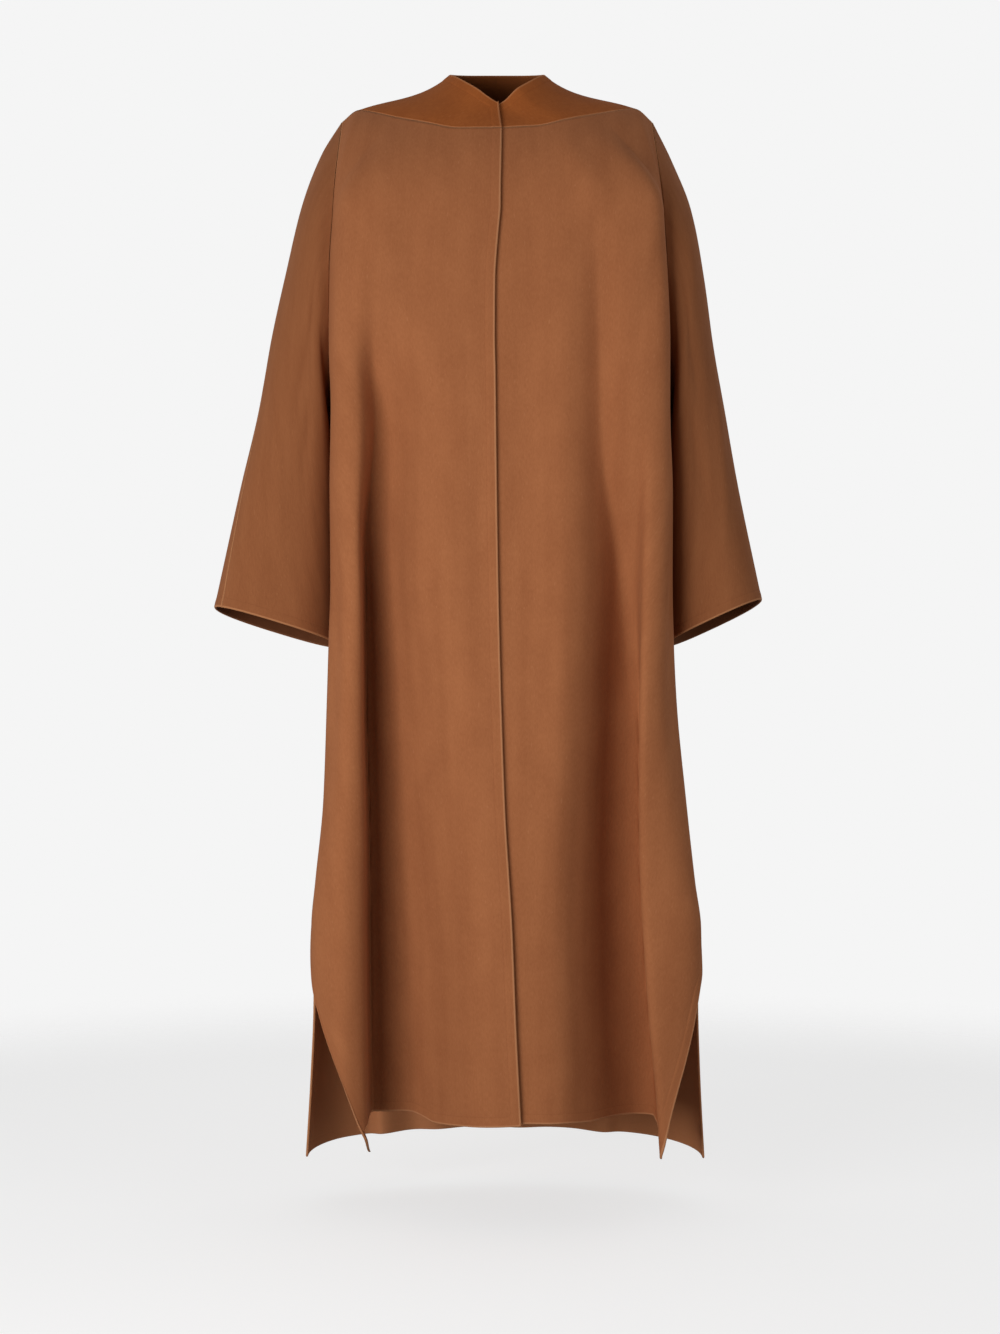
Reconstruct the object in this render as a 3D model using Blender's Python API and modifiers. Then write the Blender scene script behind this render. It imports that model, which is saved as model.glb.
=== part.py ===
"""A cashmere coat, hollow as it is worn, open at the neck, the cuffs and the hem.

Every size below is in millimetres, and meshes are written in metres. +Z is up, the front faces -Y and the
wearer's left is +X. The origin lies between the shoulder corners, where the wearer's shoulders hold the coat.
A place down the coat is given as "drop", the distance below the origin, and a place round the body as
"girth", the distance from the centre line towards the side seam, measured along the body section.
"""

import bmesh
import bpy
import numpy as np

MILLIMETRE = 0.001
WALL = 2.5
SEAM_GAP = 0.3
COLLECTION = "cashmere_coat"

RIGHT, LEFT = -1, 1
FRONT, BACK = -1, 1

SECTION_POWER = 5.0
CHEST_DROP = 120.0
UNDERARM_DROP = 380.0
SLIT_TOP_DROP = 1030.0

SHOULDER_GAP = 0.6
LAP_STEP = 6.0
LAP_UNDER = 45.0
LAP_STEP_ENDS = (40.0, 95.0)
SHOULDER_SHARE = 0.9
SHOULDER_LIFT = {RIGHT: 0.0, LEFT: 5.0}
YOKE_DIP = 0.065
LEAN_SPREAD = 1.25

FRONT_COLUMNS = 24
BACK_COLUMNS = 13
SHOULDER_COLUMNS = 2
YOKE_ROWS = 5
SLEEVE_ROWS = 13

STUD_RADIUS = 5.0
STUD_PLACE = (-9.0, -356.0)


class Table:
    """Rows of named columns; the first column is the place that the others are read at."""

    def __init__(self, columns, rows):
        self.columns = columns
        self.rows = np.array(rows, float)

    def at(self, name, place):
        return smooth(self.rows[:, 0], self.rows[:, self.columns.index(name)], place)


def smooth(knots, values, place):
    """A curve through the values that never swings past them, read at each place."""
    steps = np.diff(knots)
    rises = np.diff(values) / steps
    slopes = np.zeros(len(knots))
    slopes[0], slopes[-1] = rises[0], rises[-1]
    before, after = rises[:-1], rises[1:]
    same_way = before * after > 0
    total = np.where(same_way, before + after, 1.0)
    slopes[1:-1] = np.where(same_way, 2 * before * after / total, 0.0)
    place = np.clip(place, knots[0], knots[-1])
    index = np.clip(np.searchsorted(knots, place, side="right") - 1, 0, len(steps) - 1)
    step = steps[index]
    t = (place - knots[index]) / step
    return (
        values[index] * (1 + 2 * t) * (1 - t) ** 2
        + slopes[index] * step * t * (1 - t) ** 2
        + values[index + 1] * t**2 * (3 - 2 * t)
        + slopes[index + 1] * step * t**2 * (t - 1)
    )


def ramp(place, start, end):
    """0 before the start, 1 past the end, and a soft step between them."""
    t = np.clip((place - start) / (end - start), 0.0, 1.0)
    return t * t * (3 - 2 * t)


# Half widths to the wearer's right and left, and depths to the front and back, down the body.
BODY = Table(
    ("drop", "right", "left", "front", "back"),
    (
        (120, 219.0, 220.0, 138, 118),
        (200, 223.0, 225.0, 146, 128),
        (300, 223.5, 229.0, 150, 133),
        (380, 221.0, 229.0, 151, 132),
        (500, 223.0, 234.0, 151, 128),
        (620, 223.0, 234.5, 151, 128),
        (690, 225.0, 236.0, 152, 131),
        (780, 227.5, 240.0, 154, 134),
        (910, 232.0, 252.0, 158, 140),
        (1020, 243.0, 264.0, 162, 146),
        (1080, 248.5, 272.0, 164, 149),
        (1210, 250.0, 274.0, 167, 155),
        (1300, 254.0, 277.0, 168, 160),
        (1430, 262.0, 284.0, 170, 166),
    ),
)

# How far the armhole reaches forward and back of the shoulder line.
ARMHOLE = Table(
    ("drop", "front", "back"),
    (
        (120, 84, 84),
        (200, 92, 90),
        (260, 88, 86),
        (310, 75, 74),
        (345, 54, 54),
        (366, 31, 31),
        (380, 0, 0),
    ),
)

# How far the right front laps over the centre line.
LAP = Table(
    ("drop", "over"),
    (
        (0, 3),
        (30, 7),
        (60, 7),
        (283, -2),
        (441, -2),
        (640, 1),
        (906, 9),
        (1076, 19),
        (1223, 25),
        (1340, 31),
    ),
)

# The front edge of each side slit, as a girth.
SLIT = {
    RIGHT: Table(
        ("drop", "girth"),
        ((1030, 406), (1110, 330), (1180, 272), (1224, 248), (1266, 237), (1312, 223), (1348, 216), (1384, 207)),
    ),
    LEFT: Table(
        ("drop", "girth"),
        ((1030, 427), (1120, 372), (1180, 330), (1224, 293), (1262, 278), (1300, 268), (1355, 258), (1376, 254)),
    ),
}

# The hem of each panel, by its girth from the centre line out to the corner below the slit.
HEM = {
    (RIGHT, FRONT): Table(
        ("girth", "drop"),
        ((-31, 1341), (70, 1340), (95, 1336), (112, 1325), (150, 1322), (186, 1325), (196, 1342), (207, 1384)),
    ),
    (LEFT, FRONT): Table(
        ("girth", "drop"),
        ((-45, 1339), (95, 1337), (127, 1333), (152, 1327), (190, 1326), (222, 1331), (236, 1345), (254, 1376)),
    ),
    (RIGHT, BACK): Table(("girth", "drop"), ((0, 1400), (200, 1402), (425, 1412))),
    (LEFT, BACK): Table(("girth", "drop"), ((0, 1400), (200, 1402), (445, 1414))),
}
EDGE_BAND = 25.0
FRONT_START_SHARE = {RIGHT: -0.02, LEFT: -0.18}

# Folds run down a panel: a hollow has depth above 0 and a swell below 0. The widths are its flanks towards and
# away from the centre line, and lean draws the outer flank over the hollow.
FOLD_COLUMNS = ("start", "girth_start", "middle", "girth_middle", "girth_hem", "full")
FOLD_COLUMNS += ("depth", "inner_width", "outer_width", "lean")
FOLDS = {
    (RIGHT, FRONT): (
        (300, 178, 700, 186, 186, 980, 54, 42, 17, 30),
        (560, 226, 900, 230, 230, 1000, -12, 24, 24, 0),
        (180, 120, 330, 128, 130, 320, 3, 26, 26, 0),
    ),
    (LEFT, FRONT): (
        (165, 128, 643, 190, 228, 1000, 52, 44, 18, 26),
        (640, 245, 1000, 252, 262, 1000, -12, 26, 26, 0),
    ),
    (RIGHT, BACK): (
        (420, 70, 900, 78, 90, 1200, 16, 34, 34, 4),
        (520, 190, 900, 188, 190, 1150, 24, 40, 28, 8),
    ),
    (LEFT, BACK): (
        (480, 40, 900, 36, 30, 1250, 12, 30, 30, 0),
        (430, 150, 900, 160, 168, 1150, 22, 40, 30, 6),
    ),
}

# The body's side is tucked in beside the sleeve, in a hollow with a flat bottom at the side seam.
SIDE_TUCK = Table(("drop", "depth"), ((380, 0), (440, 12), (520, 16), (700, 16), (800, 10), (940, 0)))
SIDE_TUCK_WIDTH = 62.0

# The yoke's lower edge and the short shoulder seam past it, and how steeply the cloth falls away there.
TOP_COLUMNS = ("share", "x", "y", "z", "fall")
TOP_LINE = {
    FRONT: Table(
        TOP_COLUMNS,
        (
            (0.0, 0, -96, -13, 52),
            (0.2, 50, -93, -13, 52),
            (0.4, 96, -78, -4, 50),
            (0.6, 131, -56, 4, 42),
            (0.8, 166, -28, 14, 30),
            (0.9, 187, -5, 19, 20),
            (1.0, 209, 0, 4, 30),
        ),
    ),
    BACK: Table(
        TOP_COLUMNS,
        (
            (0.0, 0, 106, -38, 70),
            (0.2, 50, 102, -35, 68),
            (0.4, 96, 88, -23, 60),
            (0.6, 131, 64, -8, 46),
            (0.8, 166, 30, 10, 32),
            (0.9, 187, -5, 19, 20),
            (1.0, 209, 0, 4, 30),
        ),
    ),
}

# The neck edge, from the centre front round to the centre back.
NECK = Table(
    ("share", "x", "y", "z"),
    (
        (0.0, 0, -66, 23),
        (0.1, 12, -64, 31),
        (0.2, 27, -57, 43),
        (0.3, 42, -44, 53),
        (0.4, 55, -24, 62),
        (0.5, 63, 0, 67),
        (0.65, 58, 32, 71),
        (0.8, 37, 52, 73),
        (1.0, 0, 60, 74),
    ),
)

# Each sleeve from the armhole (0) to the cuff (1): overarm line, underarm line, depths and how the cuff slants.
SLEEVE_COLUMNS = ("along", "over_x", "over_y", "over_z", "under_x", "under_z", "front", "back", "slant")
SLEEVES = {
    RIGHT: Table(
        SLEEVE_COLUMNS,
        (
            (0.0, 209, 0, 4, 221, -380, 92, 90, 0),
            (0.08, 236, 0, -40, 228, -406, 96, 92, 0),
            (0.2, 262, 0, -108, 223, -444, 96, 90, 2),
            (0.35, 284, -2, -200, 220, -492, 92, 86, 4),
            (0.5, 304, -6, -290, 219, -540, 88, 82, 6),
            (0.65, 322, -12, -390, 219, -588, 84, 78, 8),
            (0.8, 346, -18, -492, 219, -636, 80, 76, 10),
            (1.0, 382, -24, -655, 220, -706, 76, 74, 12),
        ),
    ),
    LEFT: Table(
        SLEEVE_COLUMNS,
        (
            (0.0, 209, 0, 4, 229, -380, 92, 90, 0),
            (0.08, 235, 0, -48, 236, -406, 96, 92, 0),
            (0.2, 262, 0, -116, 233, -444, 96, 90, 2),
            (0.35, 279, 2, -206, 231, -492, 92, 86, 4),
            (0.5, 292, 4, -298, 231, -540, 88, 82, 6),
            (0.65, 309, 6, -392, 231, -588, 84, 78, 8),
            (0.8, 326, 8, -486, 232, -636, 80, 76, 10),
            (1.0, 360, 8, -646, 233, -705, 76, 72, 12),
        ),
    ),
}
SLEEVE_POWER = 2.5
ARMHOLE_EASE = 1.0

BODY_DROPS = np.array(
    (120, 155, 190, 225, 260, 290, 317, 342, 364, 380)
    + (420, 470, 530, 590, 650, 710, 770, 830, 890, 950, 1000, 1050, 1100, 1150, 1200, 1250, 1300, 1341),
    float,
)
SHOULDER_ROWS = 5


def side_name(side):
    return "right" if side == RIGHT else "left"


def half_width(side, drop):
    return BODY.at(side_name(side), drop)


def depth(face, drop):
    return BODY.at("front" if face == FRONT else "back", drop)


def section_girth(across, deep, full_depth):
    """The girth of a section point that lies `across` from the centre and `deep` from the side seam."""
    return across + full_depth - deep


def section_at(side, face, girth, drop):
    """Where a girth lies on the plain body section, as distances across and deep, and its outward direction."""
    width, full_depth = half_width(side, drop), depth(face, drop)
    low, high = np.full(girth.shape, -0.9), np.full(girth.shape, np.pi / 2)
    for _ in range(40):
        angle = (low + high) / 2
        across, deep = polar_section(angle, width, full_depth)
        short = section_girth(across, deep, full_depth) < girth
        low, high = np.where(short, angle, low), np.where(short, high, angle)
    across, deep = polar_section((low + high) / 2, width, full_depth)
    out_across = np.sign(across) * np.abs(across / width) ** (SECTION_POWER - 1) / width
    out_deep = np.abs(deep / full_depth) ** (SECTION_POWER - 1) / full_depth
    length = np.hypot(out_across, out_deep)
    return across, deep, out_across / length, out_deep / length


def polar_section(angle, width, full_depth):
    sine, cosine = np.sin(angle), np.cos(angle)
    reach = (np.abs(sine / width) ** SECTION_POWER + np.abs(cosine / full_depth) ** SECTION_POWER) ** (
        -1 / SECTION_POWER
    )
    return reach * sine, reach * cosine


def fold_shift(side, face, girth, drop):
    """How far the folds move a point inwards and towards the centre line."""
    off_seam = half_width(side, drop) + depth(face, drop) - girth
    inwards = SIDE_TUCK.at("depth", drop) * np.exp(-((off_seam / SIDE_TUCK_WIDTH) ** 4))
    centrewards = np.zeros(girth.shape)
    for row in FOLDS[side, face]:
        fold = dict(zip(FOLD_COLUMNS, row))
        knots = np.array((fold["start"], fold["middle"], 1400.0))
        centre = smooth(knots, np.array((fold["girth_start"], fold["girth_middle"], fold["girth_hem"])), drop)
        strength = ramp(drop, fold["start"], fold["full"])
        off = girth - centre
        width = np.where(off < 0, fold["inner_width"], fold["outer_width"])
        leaning = off / fold["outer_width"] - 1.15
        inwards += fold["depth"] * strength * np.exp(-((off / width) ** 2))
        centrewards += fold["lean"] * strength * np.exp(-((leaning / LEAN_SPREAD) ** 2))
    return inwards, centrewards


def lap_step(side, face, girth):
    """The left front lies behind the right one near the centre line."""
    if (side, face) != (LEFT, FRONT):
        return np.zeros(girth.shape)
    return LAP_STEP * (1 - ramp(girth, *LAP_STEP_ENDS))


def body_point(side, face, girth, drop):
    across, deep, out_across, out_deep = section_at(side, face, girth, drop)
    inwards, centrewards = fold_shift(side, face, girth, drop)
    across = across - inwards * out_across - centrewards * out_deep
    deep = deep - inwards * out_deep + centrewards * out_across - lap_step(side, face, girth)
    return np.stack([side * across, face * deep, -drop], axis=-1)


def end_girth(side, face, drop):
    """The girth at which a body panel ends: at the armhole, the side seam or the slit."""
    width, full_depth = half_width(side, drop), depth(face, drop)
    deep = ARMHOLE.at("front" if face == FRONT else "back", drop)
    across = width * (1 - (deep / full_depth) ** SECTION_POWER) ** (1 / SECTION_POWER)
    armhole = section_girth(across, deep, full_depth)
    if face == BACK:
        return armhole
    return np.where(drop < SLIT_TOP_DROP, armhole, SLIT[side].at("girth", drop))


def start_girth(side, face, drop):
    if face == BACK:
        return np.zeros(drop.shape)
    if side == LEFT:
        return np.full(drop.shape, -LAP_UNDER)
    return -LAP.at("over", drop)


def top_point(side, face, share):
    """A point of the yoke seam, or of the shoulder seam past it."""
    line = TOP_LINE[face]
    place = np.abs(share)
    x = np.sign(share) * line.at("x", place)
    y = line.at("y", place) + lap_step(side, face, share * 250.0)
    z = line.at("z", place) + SHOULDER_LIFT[side] * 4 * place * (1 - place)
    return np.stack([side * x, y, z], axis=-1)


def shoulder_rows(side, face, share, girth):
    """The cloth between the yoke or shoulder seam and the chest section."""
    top = top_point(side, face, share)
    drop = np.full(girth.shape, CHEST_DROP)
    chest = body_point(side, face, girth, drop)
    below = body_point(side, face, girth, drop + 10.0)
    length = np.linalg.norm(chest - top, axis=-1, keepdims=True)
    fall = np.radians(TOP_LINE[face].at("fall", np.abs(share)))
    start = np.stack([np.zeros(fall.shape), face * np.cos(fall), -np.sin(fall)], axis=-1) * length
    end = (below - chest) / 10.0 * length
    rows = []
    for t in np.linspace(0, 1, SHOULDER_ROWS, endpoint=False):
        rows.append(
            top * (1 + 2 * t) * (1 - t) ** 2
            + start * t * (1 - t) ** 2
            + chest * t**2 * (3 - 2 * t)
            + end * t**2 * (t - 1)
        )
    return rows


def panel_shares(first, columns):
    """Places across a panel, from its centre edge to the armhole, with one at the yoke's outer end."""
    yoke = np.linspace(first, SHOULDER_SHARE, columns - SHOULDER_COLUMNS + 1)
    shoulder = np.linspace(SHOULDER_SHARE, 1.0, SHOULDER_COLUMNS + 1)[1:]
    return np.concatenate([yoke, shoulder])


def front_shares(side):
    return panel_shares(FRONT_START_SHARE[side], FRONT_COLUMNS)


def back_shares():
    return panel_shares(0.0, BACK_COLUMNS)


def spread_girths(side, face, across, drop):
    """Girths of the panel's columns: evenly spaced but for a band at the side edge, which holds those cut off."""
    first, last = start_girth(side, face, drop), end_girth(side, face, drop)
    full = half_width(side, drop) + depth(face, drop)
    even = first + across * (full - first)
    band_start = last - EDGE_BAND
    squeezed = band_start + (even - band_start) / (full - band_start) * EDGE_BAND
    return np.where(even < band_start, even, squeezed)


def half_panel(side, face, shares):
    """The grid of a panel's inner face, rows down it and columns from its centre edge to its side edge."""
    across = (shares - shares[0]) / (shares[-1] - shares[0])
    hem = HEM[side, face]
    lowest = np.full(across.shape, hem.rows[-1, 1])
    hem_drop = hem.at("drop", spread_girths(side, face, across, lowest))
    rows = []
    for nominal in BODY_DROPS:
        stretch = ramp(nominal, UNDERARM_DROP, BODY_DROPS[-1])
        drop = nominal + (hem_drop - BODY_DROPS[-1]) * stretch
        rows.append(body_point(side, face, spread_girths(side, face, across, drop), drop))
    chest = np.full(across.shape, CHEST_DROP)
    girth = spread_girths(side, face, across, chest)
    return np.array(shoulder_rows(side, face, shares, girth) + rows)


def draw_back(grid, edge, gap):
    """Moves one edge of a grid towards its inside, so that it stays clear of the piece sewn to it."""
    outer, inner = {
        "top": (np.s_[0], np.s_[1]),
        "bottom": (np.s_[-1], np.s_[-2]),
        "start": (np.s_[:, 0], np.s_[:, 1]),
        "end": (np.s_[:, -1], np.s_[:, -2]),
    }[edge]
    inside = grid[inner] - grid[outer]
    inside /= np.linalg.norm(inside, axis=-1, keepdims=True)
    grid[outer] += np.reshape(gap, (-1, 1)) * inside


def top_gaps(shares):
    """How far the top edge is drawn back: the cloth bends most along the short shoulder seam."""
    return np.where(np.abs(shares) > SHOULDER_SHARE + 0.001, SHOULDER_GAP, SEAM_GAP / 2)


def front_grid(side):
    return half_panel(side, FRONT, front_shares(side))


def back_grid():
    """The back is one piece, so its two halves join along the centre line."""
    right = half_panel(RIGHT, BACK, back_shares())
    left = half_panel(LEFT, BACK, back_shares())
    grid = np.concatenate([right[:, ::-1], left[:, 1:]], axis=1)
    middle = right.shape[1] - 1
    grid[:, middle] = (right[:, 0] + left[:, 0]) / 2
    return grid


def armhole_rows():
    return SHOULDER_ROWS + int(np.argmin(np.abs(BODY_DROPS - UNDERARM_DROP))) + 1


def neck_point(side, face, share):
    place = 0.5 * np.abs(share) / SHOULDER_SHARE
    place = place if face == FRONT else 1 - place
    x = (np.sign(share) if face == FRONT else 1.0) * NECK.at("x", place)
    step = lap_step(side, face, share * 250.0)
    return np.stack([side * x, NECK.at("y", place) + step, NECK.at("z", place) - 0.6 * step], axis=-1)


def yoke_spokes(side, face, shares):
    shares = shares[shares <= SHOULDER_SHARE + 1e-6]
    return neck_point(side, face, shares), top_point(side, face, shares)


def yoke_grid():
    """The yoke runs round the neck in one piece, from the right front's lap to the one under it."""
    parts = [
        yoke_spokes(RIGHT, FRONT, front_shares(RIGHT)),
        [points[::-1][1:] for points in yoke_spokes(RIGHT, BACK, back_shares())],
        [points[1:] for points in yoke_spokes(LEFT, BACK, back_shares())],
        [points[::-1][1:] for points in yoke_spokes(LEFT, FRONT, front_shares(LEFT))],
    ]
    neck = np.concatenate([part[0] for part in parts])
    rim = np.concatenate([part[1] for part in parts])
    length = np.linalg.norm(rim - neck, axis=-1, keepdims=True)
    rows = []
    for t in np.linspace(0, 1, YOKE_ROWS + 1):
        dip = YOKE_DIP * length * 6.75 * t * (1 - t) ** 2
        rows.append(neck + (rim - neck) * t - dip * np.array((0.0, 0.0, 1.0)))
    return np.array(rows)


def sleeve_section(side, face, around, along):
    """A point round the sleeve: around is 0 on the overarm line and 1 on the underarm line."""
    table = SLEEVES[side]
    over = np.array([side * table.at("over_x", along), table.at("over_y", along), table.at("over_z", along)])
    under = np.array([side * table.at("under_x", along), 0.0, table.at("under_z", along)])
    deep = table.at("front" if face == FRONT else "back", along)
    outwards = np.array([0.0, face * deep, -face * table.at("slant", along)])
    cosine, sine = np.cos(np.pi * around), np.sin(np.pi * around)
    lengthwise = np.sign(cosine) * np.abs(cosine) ** (2 / SLEEVE_POWER)
    sideways = np.abs(sine) ** (2 / SLEEVE_POWER)
    return (over + under) / 2 + np.outer(lengthwise, (over - under) / 2) + np.outer(sideways, outwards)


def around_places(armhole):
    """How far round the armhole each of its points lies, 0 at the top and 1 at the bottom."""
    steps = np.linalg.norm(np.diff(armhole, axis=0), axis=1)
    travelled = np.concatenate([[0.0], np.cumsum(steps)])
    return travelled / travelled[-1]


def sleeve_grid(side, face, armhole):
    """A sleeve half, lofted from the body's armhole edge to its half of the cuff."""
    around = around_places(armhole)
    stand_off = SEAM_GAP + 2 * WALL * around + ARMHOLE_EASE * np.sin(np.pi * around)
    start = armhole + np.outer(stand_off, np.array((side, 0.0, 0.0)))
    misfit = start - sleeve_section(side, face, around, 0.0)
    rows = []
    for along in np.linspace(0, 1, SLEEVE_ROWS + 1) ** 1.15:
        rows.append(sleeve_section(side, face, around, along) + misfit * (1 - along) ** 4)
    return np.array(rows)


def part_collection():
    collection = bpy.data.collections.get(COLLECTION)
    if collection is None:
        collection = bpy.data.collections.new(COLLECTION)
        bpy.context.scene.collection.children.link(collection)
    return collection


def material(name, colour, roughness, metallic=0.0):
    made = bpy.data.materials.get(name) or bpy.data.materials.new(name)
    made.use_nodes = True
    shader = made.node_tree.nodes["Principled BSDF"]
    shader.inputs["Base Color"].default_value = (*colour, 1.0)
    shader.inputs["Roughness"].default_value = roughness
    shader.inputs["Metallic"].default_value = metallic
    return made


def cloth(name, grid, finish, flip):
    """A named cloth wall: the grid's open surface is its inner face, thickened outwards."""
    rows, columns = grid.shape[:2]
    mesh = bmesh.new()
    points = [mesh.verts.new(point * MILLIMETRE) for point in grid.reshape(-1, 3)]
    for row in range(rows - 1):
        for column in range(columns - 1):
            corner = row * columns + column
            face = [points[corner], points[corner + 1], points[corner + columns + 1], points[corner + columns]]
            made = mesh.faces.new(face[::-1] if flip else face)
            made.smooth = True
    data = bpy.data.meshes.new(name)
    mesh.to_mesh(data)
    mesh.free()
    obj = bpy.data.objects.new(name, data)
    obj.data.materials.append(finish)
    part_collection().objects.link(obj)
    wall = obj.modifiers.new("wall", "SOLIDIFY")
    wall.thickness = WALL * MILLIMETRE
    wall.offset = 1.0
    return obj


def clear_scene():
    for obj in list(bpy.data.objects):
        bpy.data.objects.remove(obj, do_unlink=True)


def build_fronts(finish):
    edges = {}
    for side in (RIGHT, LEFT):
        grid = front_grid(side)
        edges[side] = grid[: armhole_rows(), -1].copy()
        draw_back(grid, "top", top_gaps(front_shares(side)))
        draw_back(grid, "end", SEAM_GAP / 2)
        cloth(f"front_{side_name(side)}", grid, finish, flip=side == LEFT)
    return edges


def build_back(finish):
    grid = back_grid()
    edges = {RIGHT: grid[: armhole_rows(), 0].copy(), LEFT: grid[: armhole_rows(), -1].copy()}
    shares = back_shares()
    draw_back(grid, "top", top_gaps(np.concatenate([shares[::-1], shares[1:]])))
    draw_back(grid, "start", SEAM_GAP / 2)
    draw_back(grid, "end", SEAM_GAP / 2)
    cloth("back", grid, finish, flip=False)
    return edges


def build_yoke(finish):
    grid = yoke_grid()
    draw_back(grid, "bottom", SEAM_GAP / 2)
    cloth("yoke", grid, finish, flip=False)


def build_sleeves(finish, edges):
    for side in (RIGHT, LEFT):
        for face, label in ((FRONT, "front"), (BACK, "back")):
            grid = sleeve_grid(side, face, edges[face][side])
            draw_back(grid, "start", SEAM_GAP / 2)
            draw_back(grid, "end", SEAM_GAP / 2)
            cloth(f"sleeve_{side_name(side)}_{label}", grid, finish, flip=side == face)


def build_stud(finish):
    """The hidden press stud that holds the lap closed, a low disc between the two fronts."""
    x, z = STUD_PLACE
    drop = np.array([-z])
    front_face = body_point(RIGHT, FRONT, np.array([-x]), drop)[0][1]
    behind_face = body_point(LEFT, FRONT, np.array([x]), drop)[0][1]
    thickness = behind_face - front_face - WALL - 2 * SEAM_GAP
    bpy.ops.mesh.primitive_cylinder_add(
        vertices=24,
        radius=STUD_RADIUS * MILLIMETRE,
        depth=thickness * MILLIMETRE,
        location=(x * MILLIMETRE, (front_face + behind_face - WALL) / 2 * MILLIMETRE, z * MILLIMETRE),
        rotation=(np.pi / 2, 0.0, 0.0),
    )
    obj = bpy.context.object
    obj.name = "press_stud"
    obj.data.materials.append(finish)
    for holder in list(obj.users_collection):
        holder.objects.unlink(obj)
    part_collection().objects.link(obj)


def main():
    clear_scene()
    cashmere = material("cashmere", (0.33, 0.125, 0.05), 0.9)
    yoke_cashmere = material("yoke_cashmere", (0.2, 0.058, 0.02), 0.85)
    metal = material("stud_metal", (0.32, 0.24, 0.17), 0.35, metallic=1.0)
    edges = {FRONT: build_fronts(cashmere), BACK: build_back(cashmere)}
    build_yoke(yoke_cashmere)
    build_sleeves(cashmere, edges)
    build_stud(metal)


main()
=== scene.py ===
"""Looks of the cashmere coat: each cut piece as a thin shell of brushed double-faced cloth, in a studio.

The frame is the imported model, in metres, with +Z up, the front facing -Y and the wearer's left at +X. The
coat's own sizes below are in millimetres, and every mesh is written in metres. A drop is a distance below the
shoulders. A girth is a distance round the body from the centre line, towards the side seam.
"""

import logging
import math
from dataclasses import dataclass, field
from enum import Enum
from typing import Sequence

import bpy
import numpy as np
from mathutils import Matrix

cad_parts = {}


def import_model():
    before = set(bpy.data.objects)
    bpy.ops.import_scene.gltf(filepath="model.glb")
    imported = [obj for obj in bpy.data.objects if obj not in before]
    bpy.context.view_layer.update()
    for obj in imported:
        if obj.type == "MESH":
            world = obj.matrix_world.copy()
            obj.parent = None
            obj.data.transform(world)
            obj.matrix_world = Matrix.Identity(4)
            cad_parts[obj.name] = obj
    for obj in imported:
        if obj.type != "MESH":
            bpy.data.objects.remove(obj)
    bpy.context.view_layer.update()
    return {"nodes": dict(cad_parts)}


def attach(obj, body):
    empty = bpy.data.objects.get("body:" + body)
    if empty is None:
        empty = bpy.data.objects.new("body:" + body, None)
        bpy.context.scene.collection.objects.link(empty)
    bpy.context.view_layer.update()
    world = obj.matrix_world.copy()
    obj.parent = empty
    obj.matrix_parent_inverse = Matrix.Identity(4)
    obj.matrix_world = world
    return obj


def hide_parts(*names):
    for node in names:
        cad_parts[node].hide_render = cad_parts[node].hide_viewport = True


LOG = logging.getLogger("coat")
MILLIMETRE = 0.001

# In millimetres: the band beside a finished edge where the grid is finer, a distance beyond that of any edge,
# the least length that has a direction, and the distances from a seam between which a crease fades in.
FINE_BAND = 16.0
FAR = 1000.0
LEAST_LENGTH = 1e-9
CREASE_FADE = (2.0, 22.0)

Array = np.ndarray
Triple = tuple[float, float, float]
WHITE: Triple = (1.0, 1.0, 1.0)


class Side(Enum):
    """The wearer's side, as the sign of X."""

    RIGHT = -1
    LEFT = 1


class Face(Enum):
    """The front or the back, as the sign of Y."""

    FRONT = -1
    BACK = 1


class Edge(Enum):
    """An edge of a cloth grid, named by where its rows and columns begin and end."""

    TOP = "top"
    BOTTOM = "bottom"
    START = "start"
    END = "end"


# -------------------------------------------------------------------------------------------------
# Curves and tables
# -------------------------------------------------------------------------------------------------


def hermite(first: Array, leaving: Array, last: Array, arriving: Array, t: Array) -> Array:
    """A cubic curve from its two end values and its two end slopes.

    Args:
        first: The value at t = 0.
        leaving: The slope there.
        last: The value at t = 1.
        arriving: The slope there.
        t: Where to read the curve, from 0 to 1.

    Returns:
        The curve's value.
    """
    return (
        first * (1 + 2 * t) * (1 - t) ** 2
        + leaving * t * (1 - t) ** 2
        + last * t**2 * (3 - 2 * t)
        + arriving * t**2 * (t - 1)
    )


def smooth(knots: Array, values: Array, place: Array) -> Array:
    """A curve through values that never swings past them.

    Args:
        knots: Places of the values, rising.
        values: The values at the knots.
        place: Where to read the curve.

    Returns:
        The curve's value at each place.
    """
    steps = np.diff(knots)
    rises = np.diff(values) / steps
    slopes = np.zeros(len(knots))
    slopes[0], slopes[-1] = rises[0], rises[-1]
    before, after = rises[:-1], rises[1:]
    same_way = before * after > 0
    total = np.where(same_way, before + after, 1.0)
    slopes[1:-1] = np.where(same_way, 2 * before * after / total, 0.0)
    place = np.clip(place, knots[0], knots[-1])
    index = np.clip(np.searchsorted(knots, place, side="right") - 1, 0, len(steps) - 1)
    step = steps[index]
    t = (place - knots[index]) / step
    return hermite(values[index], slopes[index] * step, values[index + 1], slopes[index + 1] * step, t)


def ramp(place: Array, start: float, end: float) -> Array:
    """A soft step from 0 at the start to 1 at the end."""
    t = np.clip((place - start) / (end - start), 0.0, 1.0)
    return t * t * (3 - 2 * t)


def unit(vectors: Array) -> Array:
    """The directions of vectors."""
    return vectors / np.maximum(np.linalg.norm(vectors, axis=-1, keepdims=True), LEAST_LENGTH)


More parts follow.
